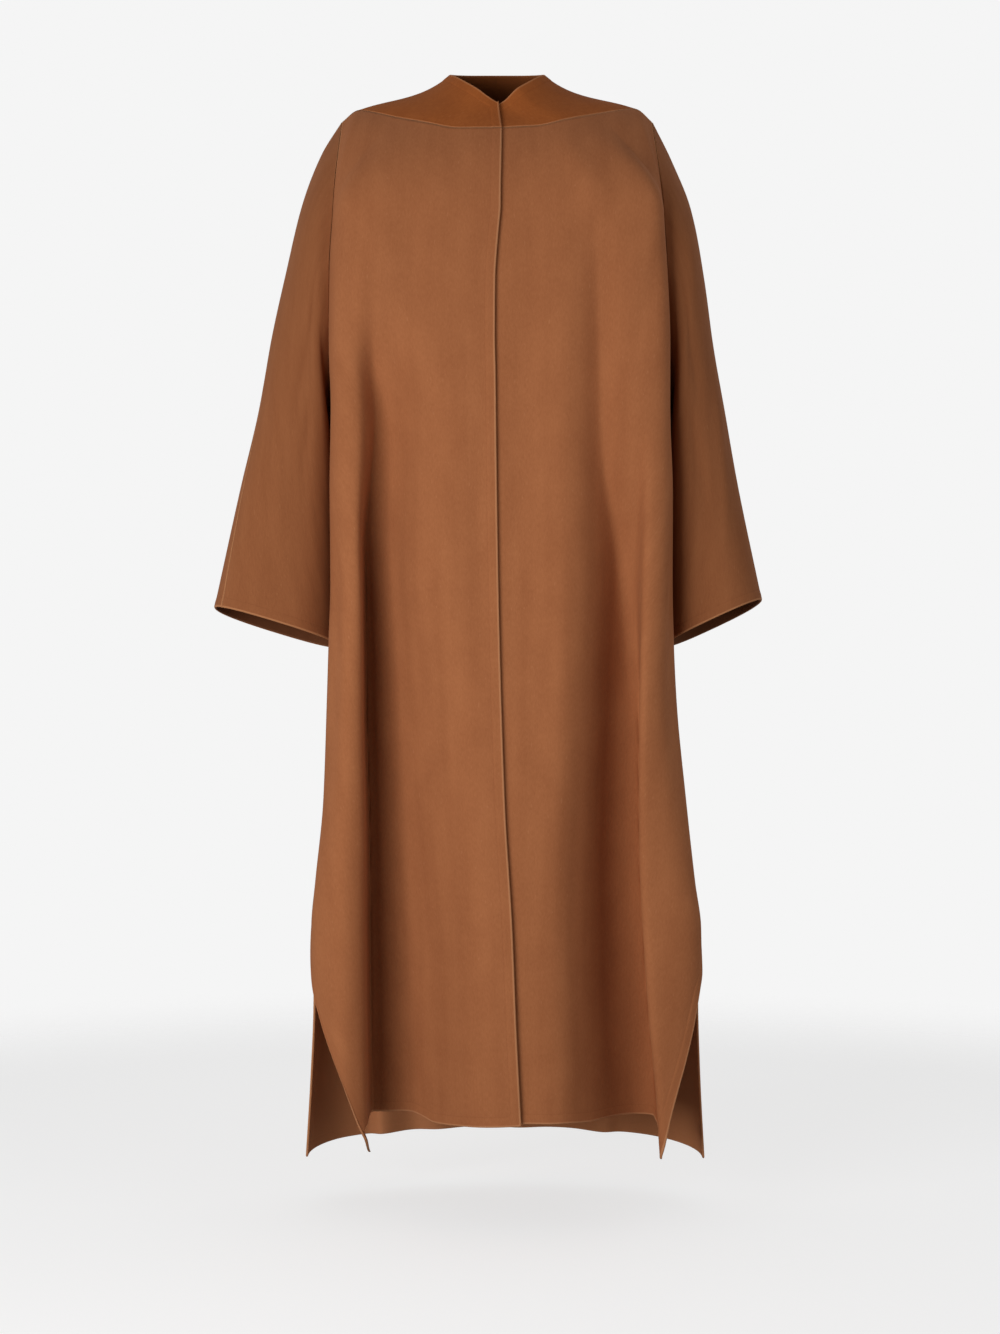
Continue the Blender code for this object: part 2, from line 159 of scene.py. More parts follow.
def graded(length: float, step: float, fine: float, fine_start: bool, fine_end: bool) -> Array:
    """Places from 0 to 1, closer together near a finished edge.

    Args:
        length: The real length that the places divide.
        step: The usual spacing.
        fine: The spacing right at a finished edge.
        fine_start: Whether the start is a finished edge.
        fine_end: Whether the end is one.

    Returns:
        The places, with 0 and 1 among them.
    """
    run = [0.0]
    while run[-1] < length:
        near = min(run[-1] if fine_start else length, (length - run[-1]) if fine_end else length)
        run.append(run[-1] + (step if near > FINE_BAND else fine + (step - fine) * near / FINE_BAND))
    places = np.array(run)
    return places / places[-1]


@dataclass(frozen=True)
class Table:
    """Rows of named columns; the first column is the place that the others are read at."""

    columns: tuple[str, ...]
    rows: tuple[tuple[float, ...], ...]

    def at(self, name: str, place: Array) -> Array:
        """The named column's smooth value at each place.

        Args:
            name: The column.
            place: Places in the first column's measure.

        Returns:
            The values there, and the nearest row's value past either end.
        """
        knots = np.array([row[0] for row in self.rows], float)
        values = np.array([row[self.columns.index(name)] for row in self.rows], float)
        return smooth(knots, values, place)

    def last_value(self) -> float:
        """The second column's value in the last row."""
        return float(self.rows[-1][1])


COURSE = ("drop", "girth", "depth", "inner", "outer", "lean")


@dataclass(frozen=True)
class Fold:
    """A fold down a panel: a hollow has depth above 0, a swell below 0, and lean steepens its outer flank.

    Attributes:
        sharpness: How its inner flank meets the bottom: 1 comes to an edge, 2 is round, and 3 is flatter.
        course: Girth, depth, widths of the two flanks and lean, by the drop.
        lean_rise: Where the lean sets in, in widths of the outer flank.
        lean_fade: Where it fades out again, in millimetres past the fold.
    """

    sharpness: float
    course: Table
    lean_rise: tuple[float, float] = (0.0, 2.0)
    lean_fade: tuple[float, float] = (30.0, 110.0)

    @classmethod
    def of(cls, sharpness: float, *rows: tuple[float, ...]) -> "Fold":
        """A fold with these rows in its course."""
        return cls(sharpness, Table(COURSE, rows))

    def shift(self, girth: Array, drop: Array) -> tuple[Array, Array]:
        """How far the fold moves points.

        Args:
            girth: The points' girths.
            drop: Their drops.

        Returns:
            The shift inwards, and the one towards the centre line.
        """
        off = girth - self.course.at("girth", drop)
        inner, outer = self.course.at("inner", drop), self.course.at("outer", drop)
        flank = np.where(off < 0, np.abs(off / inner) ** self.sharpness, (off / outer) ** 2)
        lean = self.course.at("lean", drop) * ramp(off / outer, *self.lean_rise)
        lean = lean * (1 - ramp(off, *self.lean_fade))
        return self.course.at("depth", drop) * np.exp(-flank), lean


@dataclass(frozen=True)
class Crease:
    """A soft local dip or ridge along a line on a piece, in the piece's own cloth millimetres.

    Attributes:
        across_from: Where the line starts, across the piece.
        down_from: Where it starts, down the piece.
        across_to: Where it ends, across.
        down_to: Where it ends, down.
        depth: How deep the dip is, or how high a ridge is if it is below 0.
        width: Half the dip's width, where it is down to about a third.
        rise: The shares of the line between which the dip sets in.
        fall: The shares between which it dies out.
    """

    across_from: float
    down_from: float
    across_to: float
    down_to: float
    depth: float
    width: float
    rise: tuple[float, float] = (-0.15, 0.35)
    fall: tuple[float, float] = (0.6, 1.15)

    def dip(self, across: Array, down: Array) -> Array:
        """How far the crease moves cloth points inwards.

        Args:
            across: Where the points lie across the piece.
            down: Where they lie down it.

        Returns:
            The shift of each point.
        """
        line = np.array((self.across_to - self.across_from, self.down_to - self.down_from))
        length = float(np.hypot(*line))
        x, y = across - self.across_from, down - self.down_from
        along = (x * line[0] + y * line[1]) / length**2
        beside = (x * line[1] - y * line[0]) / length
        fade = ramp(along, *self.rise) * (1 - ramp(along, *self.fall))
        return self.depth * fade * np.exp(-((beside / self.width) ** 2))


# -------------------------------------------------------------------------------------------------
# The coat's form
# -------------------------------------------------------------------------------------------------


@dataclass(frozen=True)
class BodyForm:
    """The coat's body, as a rounded section at each drop below the shoulders, with its folds.

    Attributes:
        chest_drop: The drop of the first section below the yoke.
        underarm_drop: The drop where the armholes end.
        slit_top_drop: The drop where the side slits begin.
        lap_step: How far the left front lies behind the right one.
        lap_under: How far the left front reaches past the centre line, under the right one.
        lap_step_ends: The girths between which that step dies out.
        under_lap_reach: The girth up to which the left front follows the right one's main fold.
        fold_turn: How far a fold's shift turns sideways where the section faces sideways.
        edge_band: The width of the band at the side edge that keeps its width all the way down.
        hem_level: The hem's nominal drop, from which each panel's own hem departs.
        tuck_width: Half the width of the band that is tucked in at the side seam.
        tuck_power: How square that band's profile is.
        least_angle: The lowest angle in the search for a girth, in radians.
        halvings: How often that search halves its range.
        tuck: How deep the side seam is tucked in below the arm.
        corner: The power of each quarter's rounded section.
        body: Half widths and depths of the section.
        armhole: How deep the armhole's edge lies, to the front and the back.
        lap: How far the right front laps over the centre line.
        slit_right: The girth of the right front's slit edge.
        slit_left: The girth of the left front's slit edge.
    """

    chest_drop: float = 120.0
    underarm_drop: float = 380.0
    slit_top_drop: float = 1030.0
    lap_step: float = 6.0
    lap_under: float = 45.0
    lap_step_ends: tuple[float, float] = (40.0, 95.0)
    under_lap_reach: float = 70.0
    fold_turn: float = 0.15
    edge_band: float = 25.0
    hem_level: float = 1341.0
    tuck_width: float = 62.0
    tuck_power: int = 4
    least_angle: float = -0.9
    halvings: int = 36
    tuck: Table = Table(
        ("drop", "depth"), ((380, 0), (440, 12), (520, 16), (700, 16), (800, 10), (940, 0))
    )
    corner: Table = Table(
        ("drop", "front_right", "front_left", "back_right", "back_left"),
        (
            (120, 6.0, 14.0, 5.0, 5.0),
            (400, 8.0, 13.0, 5.0, 5.0),
            (900, 8.0, 12.0, 5.0, 5.0),
            (1100, 8.0, 12.0, 3.4, 3.4),
            (1250, 8.0, 12.0, 2.6, 2.6),
            (1430, 8.0, 12.0, 2.2, 2.2),
        ),
    )
    body: Table = Table(
        ("drop", "right", "left", "front", "back"),
        (
            (120, 219.0, 220.0, 138, 118),
            (200, 223.0, 225.0, 146, 128),
            (300, 223.5, 229.0, 150, 133),
            (380, 221.0, 229.0, 151, 132),
            (500, 223.0, 234.0, 151, 128),
            (620, 223.0, 234.5, 151, 128),
            (690, 225.0, 236.0, 152, 131),
            (780, 227.5, 240.0, 154, 134),
            (910, 232.0, 252.0, 158, 140),
            (1020, 243.0, 264.0, 162, 146),
            (1080, 248.5, 272.0, 164, 149),
            (1210, 250.0, 274.0, 167, 155),
            (1300, 254.0, 277.0, 168, 160),
            (1430, 262.0, 284.0, 170, 166),
        ),
    )
    armhole: Table = Table(
        ("drop", "front", "back"),
        (
            (120, 84, 84),
            (200, 92, 90),
            (260, 88, 86),
            (310, 75, 74),
            (345, 54, 54),
            (366, 31, 31),
            (380, 0, 0),
        ),
    )
    lap: Table = Table(
        ("drop", "over"),
        (
            (0, 3),
            (30, 5),
            (60, 5),
            (120, 3.5),
            (150, 1),
            (185, -2),
            (215, -3.6),
            (288, -4),
            (342, -3),
            (441, -2),
            (640, 1),
            (906, 9),
            (1076, 19),
            (1223, 25),
            (1340, 31),
        ),
    )
    slit_right: Table = Table(
        ("drop", "girth"),
        (
            (1030, 406), (1114, 310), (1181, 270), (1223, 251), (1263, 235),
            (1309, 219), (1347, 205), (1372, 192), (1392, 181),
        ),
    )
    slit_left: Table = Table(
        ("drop", "girth"),
        (
            (1030, 427), (1122, 330), (1161, 304), (1224, 289), (1260, 281),
            (1297, 272), (1346, 260), (1373, 254), (1384, 251),
        ),
    )

    def half_width(self, side: Side, drop: Array) -> Array:
        """The body's half width on a side."""
        return self.body.at(side.name.lower(), drop)

    def depth(self, face: Face, drop: Array) -> Array:
        """The body's depth to the front or the back."""
        return self.body.at(face.name.lower(), drop)

    def squareness(self, side: Side, face: Face, drop: Array) -> Array:
        """The power of a quarter's rounded section: the higher, the squarer its corner."""
        return self.corner.at(f"{face.name}_{side.name}".lower(), drop)

    @staticmethod
    def polar(angle: Array, width: Array, full_depth: Array, power: Array) -> tuple[Array, Array]:
        """A point of the rounded section at an angle from straight ahead.

        Args:
            angle: The angle from straight ahead, in radians.
            width: The section's half width.
            full_depth: Its depth.
            power: Its corner's power.

        Returns:
            How far the point lies across, and how deep.
        """
        sine, cosine = np.sin(angle), np.cos(angle)
        reach = (np.abs(sine / width) ** power + np.abs(cosine / full_depth) ** power) ** (-1 / power)
        return reach * sine, reach * cosine

    def section(self, side: Side, face: Face, girth: Array, drop: Array) -> tuple[Array, Array, Array, Array]:
        """Where girths lie on the plain section, without its folds.

        Args:
            side: The quarter's side.
            face: Its face.
            girth: The girths.
            drop: The drop of each of them.

        Returns:
            How far each lies across and how deep, and the direction out of the section there.
        """
        width, full_depth = self.half_width(side, drop), self.depth(face, drop)
        power = self.squareness(side, face, drop)
        low, high = np.full(girth.shape, self.least_angle), np.full(girth.shape, np.pi / 2)
        for _ in range(self.halvings):
            angle = (low + high) / 2
            across, deep = self.polar(angle, width, full_depth, power)
            short = across + full_depth - deep < girth
            low, high = np.where(short, angle, low), np.where(short, high, angle)
        across, deep = self.polar((low + high) / 2, width, full_depth, power)
        out_across = np.sign(across) * np.abs(across / width) ** (power - 1) / width
        out_deep = np.abs(deep / full_depth) ** (power - 1) / full_depth
        length = np.hypot(out_across, out_deep)
        return across, deep, out_across / length, out_deep / length

    def lap_shift(self, side: Side, face: Face, girth: Array) -> Array:
        """How far the left front lies behind the right one.

        Args:
            side: The quarter's side.
            face: Its face.
            girth: The points' girths.

        Returns:
            The shift of each point, which is 0 in the other quarters.
        """
        if (side, face) != (Side.LEFT, Face.FRONT):
            return np.zeros(girth.shape)
        return self.lap_step * (1 - ramp(girth, *self.lap_step_ends))

    def under_lap(self, side: Side, face: Face, girth: Array, drop: Array) -> Array:
        """How far the left front sinks under the right one to follow that one's main fold.

        Args:
            side: The quarter's side.
            face: Its face.
            girth: The points' girths.
            drop: Their drops.

        Returns:
            The shift of each point, which is 0 in the other quarters.
        """
        if (side, face) != (Side.LEFT, Face.FRONT):
            return np.zeros(girth.shape)
        sunk, _ = FOLDS[Side.RIGHT, Face.FRONT][0].shift(-np.minimum(girth, 0.0), drop)
        return sunk * (1 - ramp(girth, 0.0, self.under_lap_reach))

    def point(self, side: Side, face: Face, girth: Array, drop: Array) -> Array:
        """Points of the body's inner face.

        Args:
            side: The quarter's side.
            face: Its face.
            girth: The points' girths.
            drop: Their drops.

        Returns:
            The points, in millimetres.
        """
        across, deep, out_across, out_deep = self.section(side, face, girth, drop)
        off_seam = self.half_width(side, drop) + self.depth(face, drop) - girth
        sunk = self.tuck.at("depth", drop) * np.exp(-((off_seam / self.tuck_width) ** self.tuck_power))
        across, deep = across - sunk * out_across, deep - sunk * out_deep
        for fold in FOLDS[side, face]:
            inwards, lean = fold.shift(girth, drop)
            turn = self.fold_turn * out_across
            across = across - inwards * turn - lean
            deep = deep - inwards * np.sqrt(1 - turn**2)
        deep = deep - self.lap_shift(side, face, girth) - self.under_lap(side, face, girth, drop)
        return np.stack([side.value * across, face.value * deep, -drop], axis=-1)

    def end_girth(self, side: Side, face: Face, drop: Array) -> Array:
        """The girth at which a panel ends: at the armhole, the side seam or the slit.

        Args:
            side: The panel's side.
            face: Its face.
            drop: Where to read it.

        Returns:
            The girth at each drop.
        """
        width, full_depth = self.half_width(side, drop), self.depth(face, drop)
        deep = self.armhole.at(face.name.lower(), drop)
        power = self.squareness(side, face, drop)
        across = width * (1 - (deep / full_depth) ** power) ** (1 / power)
        armhole = across + full_depth - deep
        if face is Face.BACK:
            return armhole
        slit = self.slit_right if side is Side.RIGHT else self.slit_left
        return np.where(drop < self.slit_top_drop, armhole, slit.at("girth", drop))

    def start_girth(self, side: Side, face: Face, drop: Array) -> Array:
        """The girth at which a panel starts: the centre line, or the lap's edge.

        Args:
            side: The panel's side.
            face: Its face.
            drop: Where to read it.

        Returns:
            The girth at each drop.
        """
        if face is Face.BACK:
            return np.zeros(drop.shape)
        if side is Side.LEFT:
            return np.full(drop.shape, -self.lap_under)
        return -self.lap.at("over", drop)

    def spread(self, side: Side, face: Face, across: Array, drop: Array) -> Array:
        """Girths of a panel's columns, evenly spaced but for a band at the side edge.

        Args:
            side: The panel's side.
            face: Its face.
            across: The columns' shares of the panel's width, from 0 to 1.
            drop: The drop of each column.

        Returns:
            The girth of each column.
        """
        first, last = self.start_girth(side, face, drop), self.end_girth(side, face, drop)
        full = self.half_width(side, drop) + self.depth(face, drop)
        even = first + across * (full - first)
        band = last - self.edge_band
        return np.where(even < band, even, band + (even - band) / (full - band) * self.edge_band)


FOLDS = {
    (Side.RIGHT, Face.FRONT): (
        Fold.of(
            3,
            (170, 162, 0, 36, 20, 0),
            (250, 163, 6, 38, 20, 0),
            (400, 165, 42, 70, 14, 2),
            (588, 186, 66, 72, 12, 13),
            (776, 185, 88, 96, 13, 17),
            (990, 178, 98, 106, 14, 18),
            (1178, 176, 104, 113, 14, 18),
            (1400, 172, 104, 115, 14, 18),
        ),
        Fold.of(
            2,
            (250, 164, 0, 40, 36, 0),
            (400, 165, 14, 40, 38, 0),
            (776, 183, 24, 46, 40, 0),
            (1400, 172, 24, 60, 40, 0),
        ),
        Fold.of(2, (560, 226, 0, 24, 24, 0), (900, 230, -8, 24, 24, 0), (1400, 226, -10, 24, 24, 0)),
        Fold.of(2, (120, 120, 0, 26, 26, 0), (250, 122, 3, 26, 26, 0), (500, 126, 0, 26, 26, 0)),
    ),
    (Side.LEFT, Face.FRONT): (
        Fold.of(
            1.6,
            (120, 128, 0, 26, 26, 0),
            (205, 134, 14, 26, 28, 0),
            (441, 140, 30, 28, 30, 0),
            (588, 160, 34, 36, 30, 0),
            (700, 172, 20, 44, 30, 0),
            (800, 180, 0, 50, 30, 0),
        ),
        Fold.of(
            3,
            (400, 188, 0, 60, 12, 0),
            (588, 188, 34, 66, 12, 8),
            (776, 196, 90, 78, 12, 22),
            (990, 198, 114, 90, 13, 28),
            (1178, 209, 122, 98, 13, 28),
            (1299, 221, 122, 104, 13, 28),
            (1400, 229, 122, 108, 13, 28),
        ),
    ),
    (Side.RIGHT, Face.BACK): (
        Fold.of(2, (420, 70, 0, 34, 34, 0), (900, 78, 11, 34, 34, 3), (1400, 90, 16, 34, 34, 4)),
        Fold.of(2, (520, 190, 0, 40, 28, 0), (900, 188, 16, 40, 28, 5), (1400, 190, 24, 40, 28, 8)),
    ),
    (Side.LEFT, Face.BACK): (
        Fold.of(2, (480, 40, 0, 30, 30, 0), (900, 36, 8, 30, 30, 0), (1400, 30, 12, 30, 30, 0)),
        Fold.of(2, (430, 150, 0, 40, 30, 0), (900, 160, 15, 40, 30, 4), (1400, 168, 22, 40, 30, 6)),
    ),
}

HEM_COLUMNS = ("girth", "drop")
HEMS = {
    (Side.RIGHT, Face.FRONT): Table(
        HEM_COLUMNS,
        (
            (-31, 1339), (37, 1343), (84, 1346), (99, 1341), (116, 1337),
            (144, 1340), (173, 1344), (177, 1350), (179, 1372), (181, 1392),
        ),
    ),
    (Side.LEFT, Face.FRONT): Table(
        HEM_COLUMNS,
        (
            (-45, 1337), (34, 1337), (92, 1338), (128, 1342), (156, 1342),
            (186, 1343), (216, 1346), (221, 1356), (225, 1375), (248, 1384),
        ),
    ),
    (Side.RIGHT, Face.BACK): Table(HEM_COLUMNS, ((0, 1400), (200, 1402), (425, 1412))),
    (Side.LEFT, Face.BACK): Table(HEM_COLUMNS, ((0, 1400), (200, 1402), (445, 1414))),
}

TOP_COLUMNS = ("share", "x", "y", "z", "fall")


@dataclass(frozen=True)
class ShoulderForm:
    """The neck edge, the yoke seam and the short shoulder seam past it.

    A share is the part of the way from the centre line to the armhole.

    Attributes:
        body: The body below.
        shoulder_share: Where the yoke seam meets the shoulder line.
        right_start: The share at which the right front starts, past the centre line.
        left_start: The share at which the left front starts, under the right one.
        share_girth: The girth that a share of 1 stands for, to place the lap's step.
        left_lift: How much higher the left shoulder is at its middle.
        neck_slope: How far the neck edge sinks for each millimetre of the lap's step.
        tangent_step: The drop below the chest section over which its slope is read.
        yoke_dip: How far the yoke sinks between the neck and its seam, as a share of its width.
        front: The front's seam line, with the angle at which the cloth leaves it.
        back: The back's seam line.
        neck: The neck edge, from the centre front to the centre back.
    """

    body: BodyForm = BodyForm()
    shoulder_share: float = 0.9
    right_start: float = -0.02
    left_start: float = -0.18
    share_girth: float = 250.0
    left_lift: float = 5.0
    neck_slope: float = 0.6
    tangent_step: float = 10.0
    yoke_dip: float = 0.065
    front: Table = Table(
        TOP_COLUMNS,
        (
            (0.0, 0, -96, -13, 52),
            (0.2, 50, -93, -13, 52),
            (0.4, 96, -78, -4, 50),
            (0.6, 131, -56, 4, 42),
            (0.8, 166, -28, 14, 30),
            (0.9, 187, -5, 19, 20),
            (1.0, 209, 0, 4, 30),
        ),
    )
    back: Table = Table(
        TOP_COLUMNS,
        (
            (0.0, 0, 106, -38, 70),
            (0.2, 50, 102, -35, 68),
            (0.4, 96, 88, -23, 60),
            (0.6, 131, 64, -8, 46),
            (0.8, 166, 30, 10, 32),
            (0.9, 187, -5, 19, 20),
            (1.0, 209, 0, 4, 30),
        ),
    )
    neck: Table = Table(
        ("share", "x", "y", "z"),
        (
            (0.0, 0, -66, 23),
            (0.1, 12, -64, 31),
            (0.2, 27, -57, 43),
            (0.3, 42, -44, 53),
            (0.4, 55, -24, 62),
            (0.5, 63, 0, 67),
            (0.65, 58, 32, 71),
            (0.8, 37, 52, 73),
            (1.0, 0, 60, 74),
        ),
    )

    def line(self, face: Face) -> Table:
        """The seam line on the front or the back."""
        return self.front if face is Face.FRONT else self.back

    def start_share(self, side: Side, face: Face) -> float:
        """The share at which a panel starts: the centre line, or past it at the lap."""
        if face is Face.BACK:
            return 0.0
        return self.right_start if side is Side.RIGHT else self.left_start

    def top_point(self, side: Side, face: Face, share: Array) -> Array:
        """Points of the yoke seam, or of the shoulder seam past it.

        Args:
            side: The quarter's side.
            face: Its face.
            share: Shares of the way to the armhole.

        Returns:
            The points, in millimetres.
        """
        line, place = self.line(face), np.abs(share)
        lift = self.left_lift if side is Side.LEFT else 0.0
        x = np.sign(share) * line.at("x", place)
        y = line.at("y", place) + self.body.lap_shift(side, face, share * self.share_girth)
        z = line.at("z", place) + lift * 4 * place * (1 - place)
        return np.stack([side.value * x, y, z], axis=-1)

    def neck_point(self, side: Side, face: Face, share: Array) -> Array:
        """Points of the neck edge that face the same shares of the yoke seam.

        Args:
            side: The quarter's side.
            face: Its face.
            share: Shares of the way to the armhole.

        Returns:
            The points, in millimetres.
        """
        place = 0.5 * np.abs(share) / self.shoulder_share
        place = place if face is Face.FRONT else 1 - place
        sign = np.sign(share) if face is Face.FRONT else 1.0
        step = self.body.lap_shift(side, face, share * self.share_girth)
        y, z = self.neck.at("y", place) + step, self.neck.at("z", place) - self.neck_slope * step
        return np.stack([side.value * sign * self.neck.at("x", place), y, z], axis=-1)

    def fall(self, side: Side, face: Face, share: Array, girth: Array, count: int) -> list[Array]:
        """Rows of cloth from the seam line down to the chest section.

        Args:
            side: The quarter's side.
            face: Its face.
            share: The columns' shares on the seam line.
            girth: The columns' girths at the chest.
            count: How many rows to make, without the chest's own.

        Returns:
            The rows, each with one point for each column.
        """
        top = self.top_point(side, face, share)
        drop = np.full(girth.shape, self.body.chest_drop)
        chest = self.body.point(side, face, girth, drop)
        below = self.body.point(side, face, girth, drop + self.tangent_step)
        length = np.linalg.norm(chest - top, axis=-1, keepdims=True)
        angle = np.radians(self.line(face).at("fall", np.abs(share)))
        leaving = np.stack([np.zeros(angle.shape), face.value * np.cos(angle), -np.sin(angle)], axis=-1)
        start = leaving * length
        end = (below - chest) / self.tangent_step * length
        return [hermite(top, start, chest, end, t) for t in np.linspace(0, 1, count, endpoint=False)]


SLEEVE_COLUMNS = ("along", "over_x", "over_y", "over_z", "under_x", "under_z", "front", "back", "slant")
SLEEVES = {
    Side.RIGHT: Table(
        SLEEVE_COLUMNS,
        (
            (0.0, 209, 0, 4, 221, -380, 92, 90, 0),
            (0.08, 236, 0, -40, 228, -406, 96, 92, 0),
            (0.2, 262, 0, -108, 223, -444, 96, 90, 2),
            (0.35, 284, -2, -200, 220, -492, 92, 86, 4),
            (0.5, 304, -6, -290, 219, -540, 88, 82, 6),
            (0.65, 322, -12, -390, 219, -588, 84, 78, 8),
            (0.8, 346, -18, -492, 219, -636, 80, 76, 10),
            (1.0, 382, -24, -655, 220, -706, 76, 74, 12),
        ),
    ),
    Side.LEFT: Table(
        SLEEVE_COLUMNS,
        (
            (0.0, 209, 0, 4, 229, -380, 92, 90, 0),
            (0.08, 235, 0, -48, 236, -406, 96, 92, 0),
            (0.2, 262, 0, -116, 233, -444, 96, 90, 2),
            (0.35, 279, 2, -206, 231, -492, 92, 86, 4),
            (0.5, 292, 4, -298, 231, -540, 88, 82, 6),
            (0.65, 309, 6, -392, 231, -588, 84, 78, 8),
            (0.8, 326, 8, -486, 232, -636, 80, 76, 10),
            (1.0, 360, 8, -646, 233, -705, 76, 72, 12),
        ),
    ),
}


# -------------------------------------------------------------------------------------------------
# Cloth grids and shells
# -------------------------------------------------------------------------------------------------


@dataclass
class ClothGrid:
    """A piece's inner face as a grid of points, with its cloth coordinates and its edges.

    Attributes:
        points: Rows by columns by 3, in millimetres.
        flip: Whether columns by rows point into the coat.
        finished: Edges that are felled and free.
        sewn: Edges that meet another piece.
        gap: How far a sewn edge stays from the seam line, in millimetres.
        radial: Whether the columns fan out, so that their cloth coordinate is even down each of them.
        centred: Whether the cloth coordinate across starts at the middle of each row.
        slit: Which points lie beside the side slits, where a sewn edge is open.
    """

    points: Array
    flip: bool
    finished: tuple[Edge, ...] = ()
    sewn: tuple[Edge, ...] = ()
    gap: float = 0.15
    radial: bool = False
    centred: bool = False
    slit: Array | None = None

    @staticmethod
    def edge_slices(edge: Edge) -> tuple:
        """Where an edge lies in the grid.

        Args:
            edge: The edge.

        Returns:
            The index of the edge, and the one of the line inside it.
        """
        return {
            Edge.TOP: (np.s_[0], np.s_[1]),
            Edge.BOTTOM: (np.s_[-1], np.s_[-2]),
            Edge.START: (np.s_[:, 0], np.s_[:, 1]),
            Edge.END: (np.s_[:, -1], np.s_[:, -2]),
        }[edge]

    def draw_back(self, *edges: Edge) -> None:
        """Moves sewn edges towards the inside by the gap, one after the other."""
        for edge in edges:
            outer, inner = self.edge_slices(edge)
            self.points[outer] += self.gap * unit(self.points[inner] - self.points[outer])

    def travelled(self) -> tuple[Array, Array]:
        """The distance along the cloth.

        Returns:
            How far each point lies across its row, and how far down its column, in millimetres.
        """
        across = np.linalg.norm(np.diff(self.points, axis=1), axis=-1)
        down = np.linalg.norm(np.diff(self.points, axis=0), axis=-1)
        across = np.concatenate([np.zeros((len(self.points), 1)), np.cumsum(across, axis=1)], axis=1)
        down = np.concatenate([np.zeros((1, self.points.shape[1])), np.cumsum(down, axis=0)], axis=0)
        return across, down

    def cloth(self) -> Array:
        """Where the points lie on the flat cloth.

        Returns:
            How far across and how far down each point lies, in millimetres, a row for each point.
        """
        across, down = self.travelled()
        run = across.mean(axis=0, keepdims=True) + 0 * across if self.radial else across
        run = run - 0.5 * across[:, -1:] if self.centred else run
        return np.stack([run, down], axis=-1).reshape(-1, 2)

    def edge_distance(self, edges: Sequence[Edge]) -> Array:
        """The distance of each point from the nearest of some edges.

        Args:
            edges: The edges.

        Returns:
            The distances in millimetres, FAR at most.
        """
        across, down = self.travelled()
        runs = {
            Edge.TOP: down,
            Edge.BOTTOM: down[-1:] - down,
            Edge.START: across,
            Edge.END: across[:, -1:] - across,
        }
        nearest = np.full(across.shape, FAR)
        for edge in edges:
            nearest = np.minimum(nearest, runs[edge])
        return nearest

    def free_distance(self) -> Array:
        """The distance from the nearest open edge, the slits' included.

        Returns:
            The distance of each point in millimetres, FAR at most.
        """
        nearest = self.edge_distance(self.finished)
        if self.slit is None:
            return nearest
        sides = self.edge_distance([edge for edge in (Edge.START, Edge.END) if edge in self.sewn])
        return np.minimum(nearest, np.where(self.slit, sides, FAR))

    def normals(self) -> Array:
        """The outward direction at each point."""
        normal = unit(np.cross(np.gradient(self.points, axis=1), np.gradient(self.points, axis=0)))
        return -normal if self.flip else normal

    def press_in(self, dip: Array, seams: Sequence[Edge]) -> None:
        """Presses creases into the cloth, fading them out at these seams.

        Args:
            dip: How far each point goes inwards, in millimetres.
            seams: The edges that stay where they are.
        """
        fade = ramp(self.edge_distance(seams), *CREASE_FADE)
        self.points = self.points - self.normals() * (dip * fade)[..., None]

    def area(self) -> float:
        """The grid's area in square metres."""
        across = np.diff(self.points, axis=1)[:-1]
        down = np.diff(self.points, axis=0)[:, :-1]
        return float(np.linalg.norm(np.cross(across, down), axis=-1).sum()) * MILLIMETRE**2


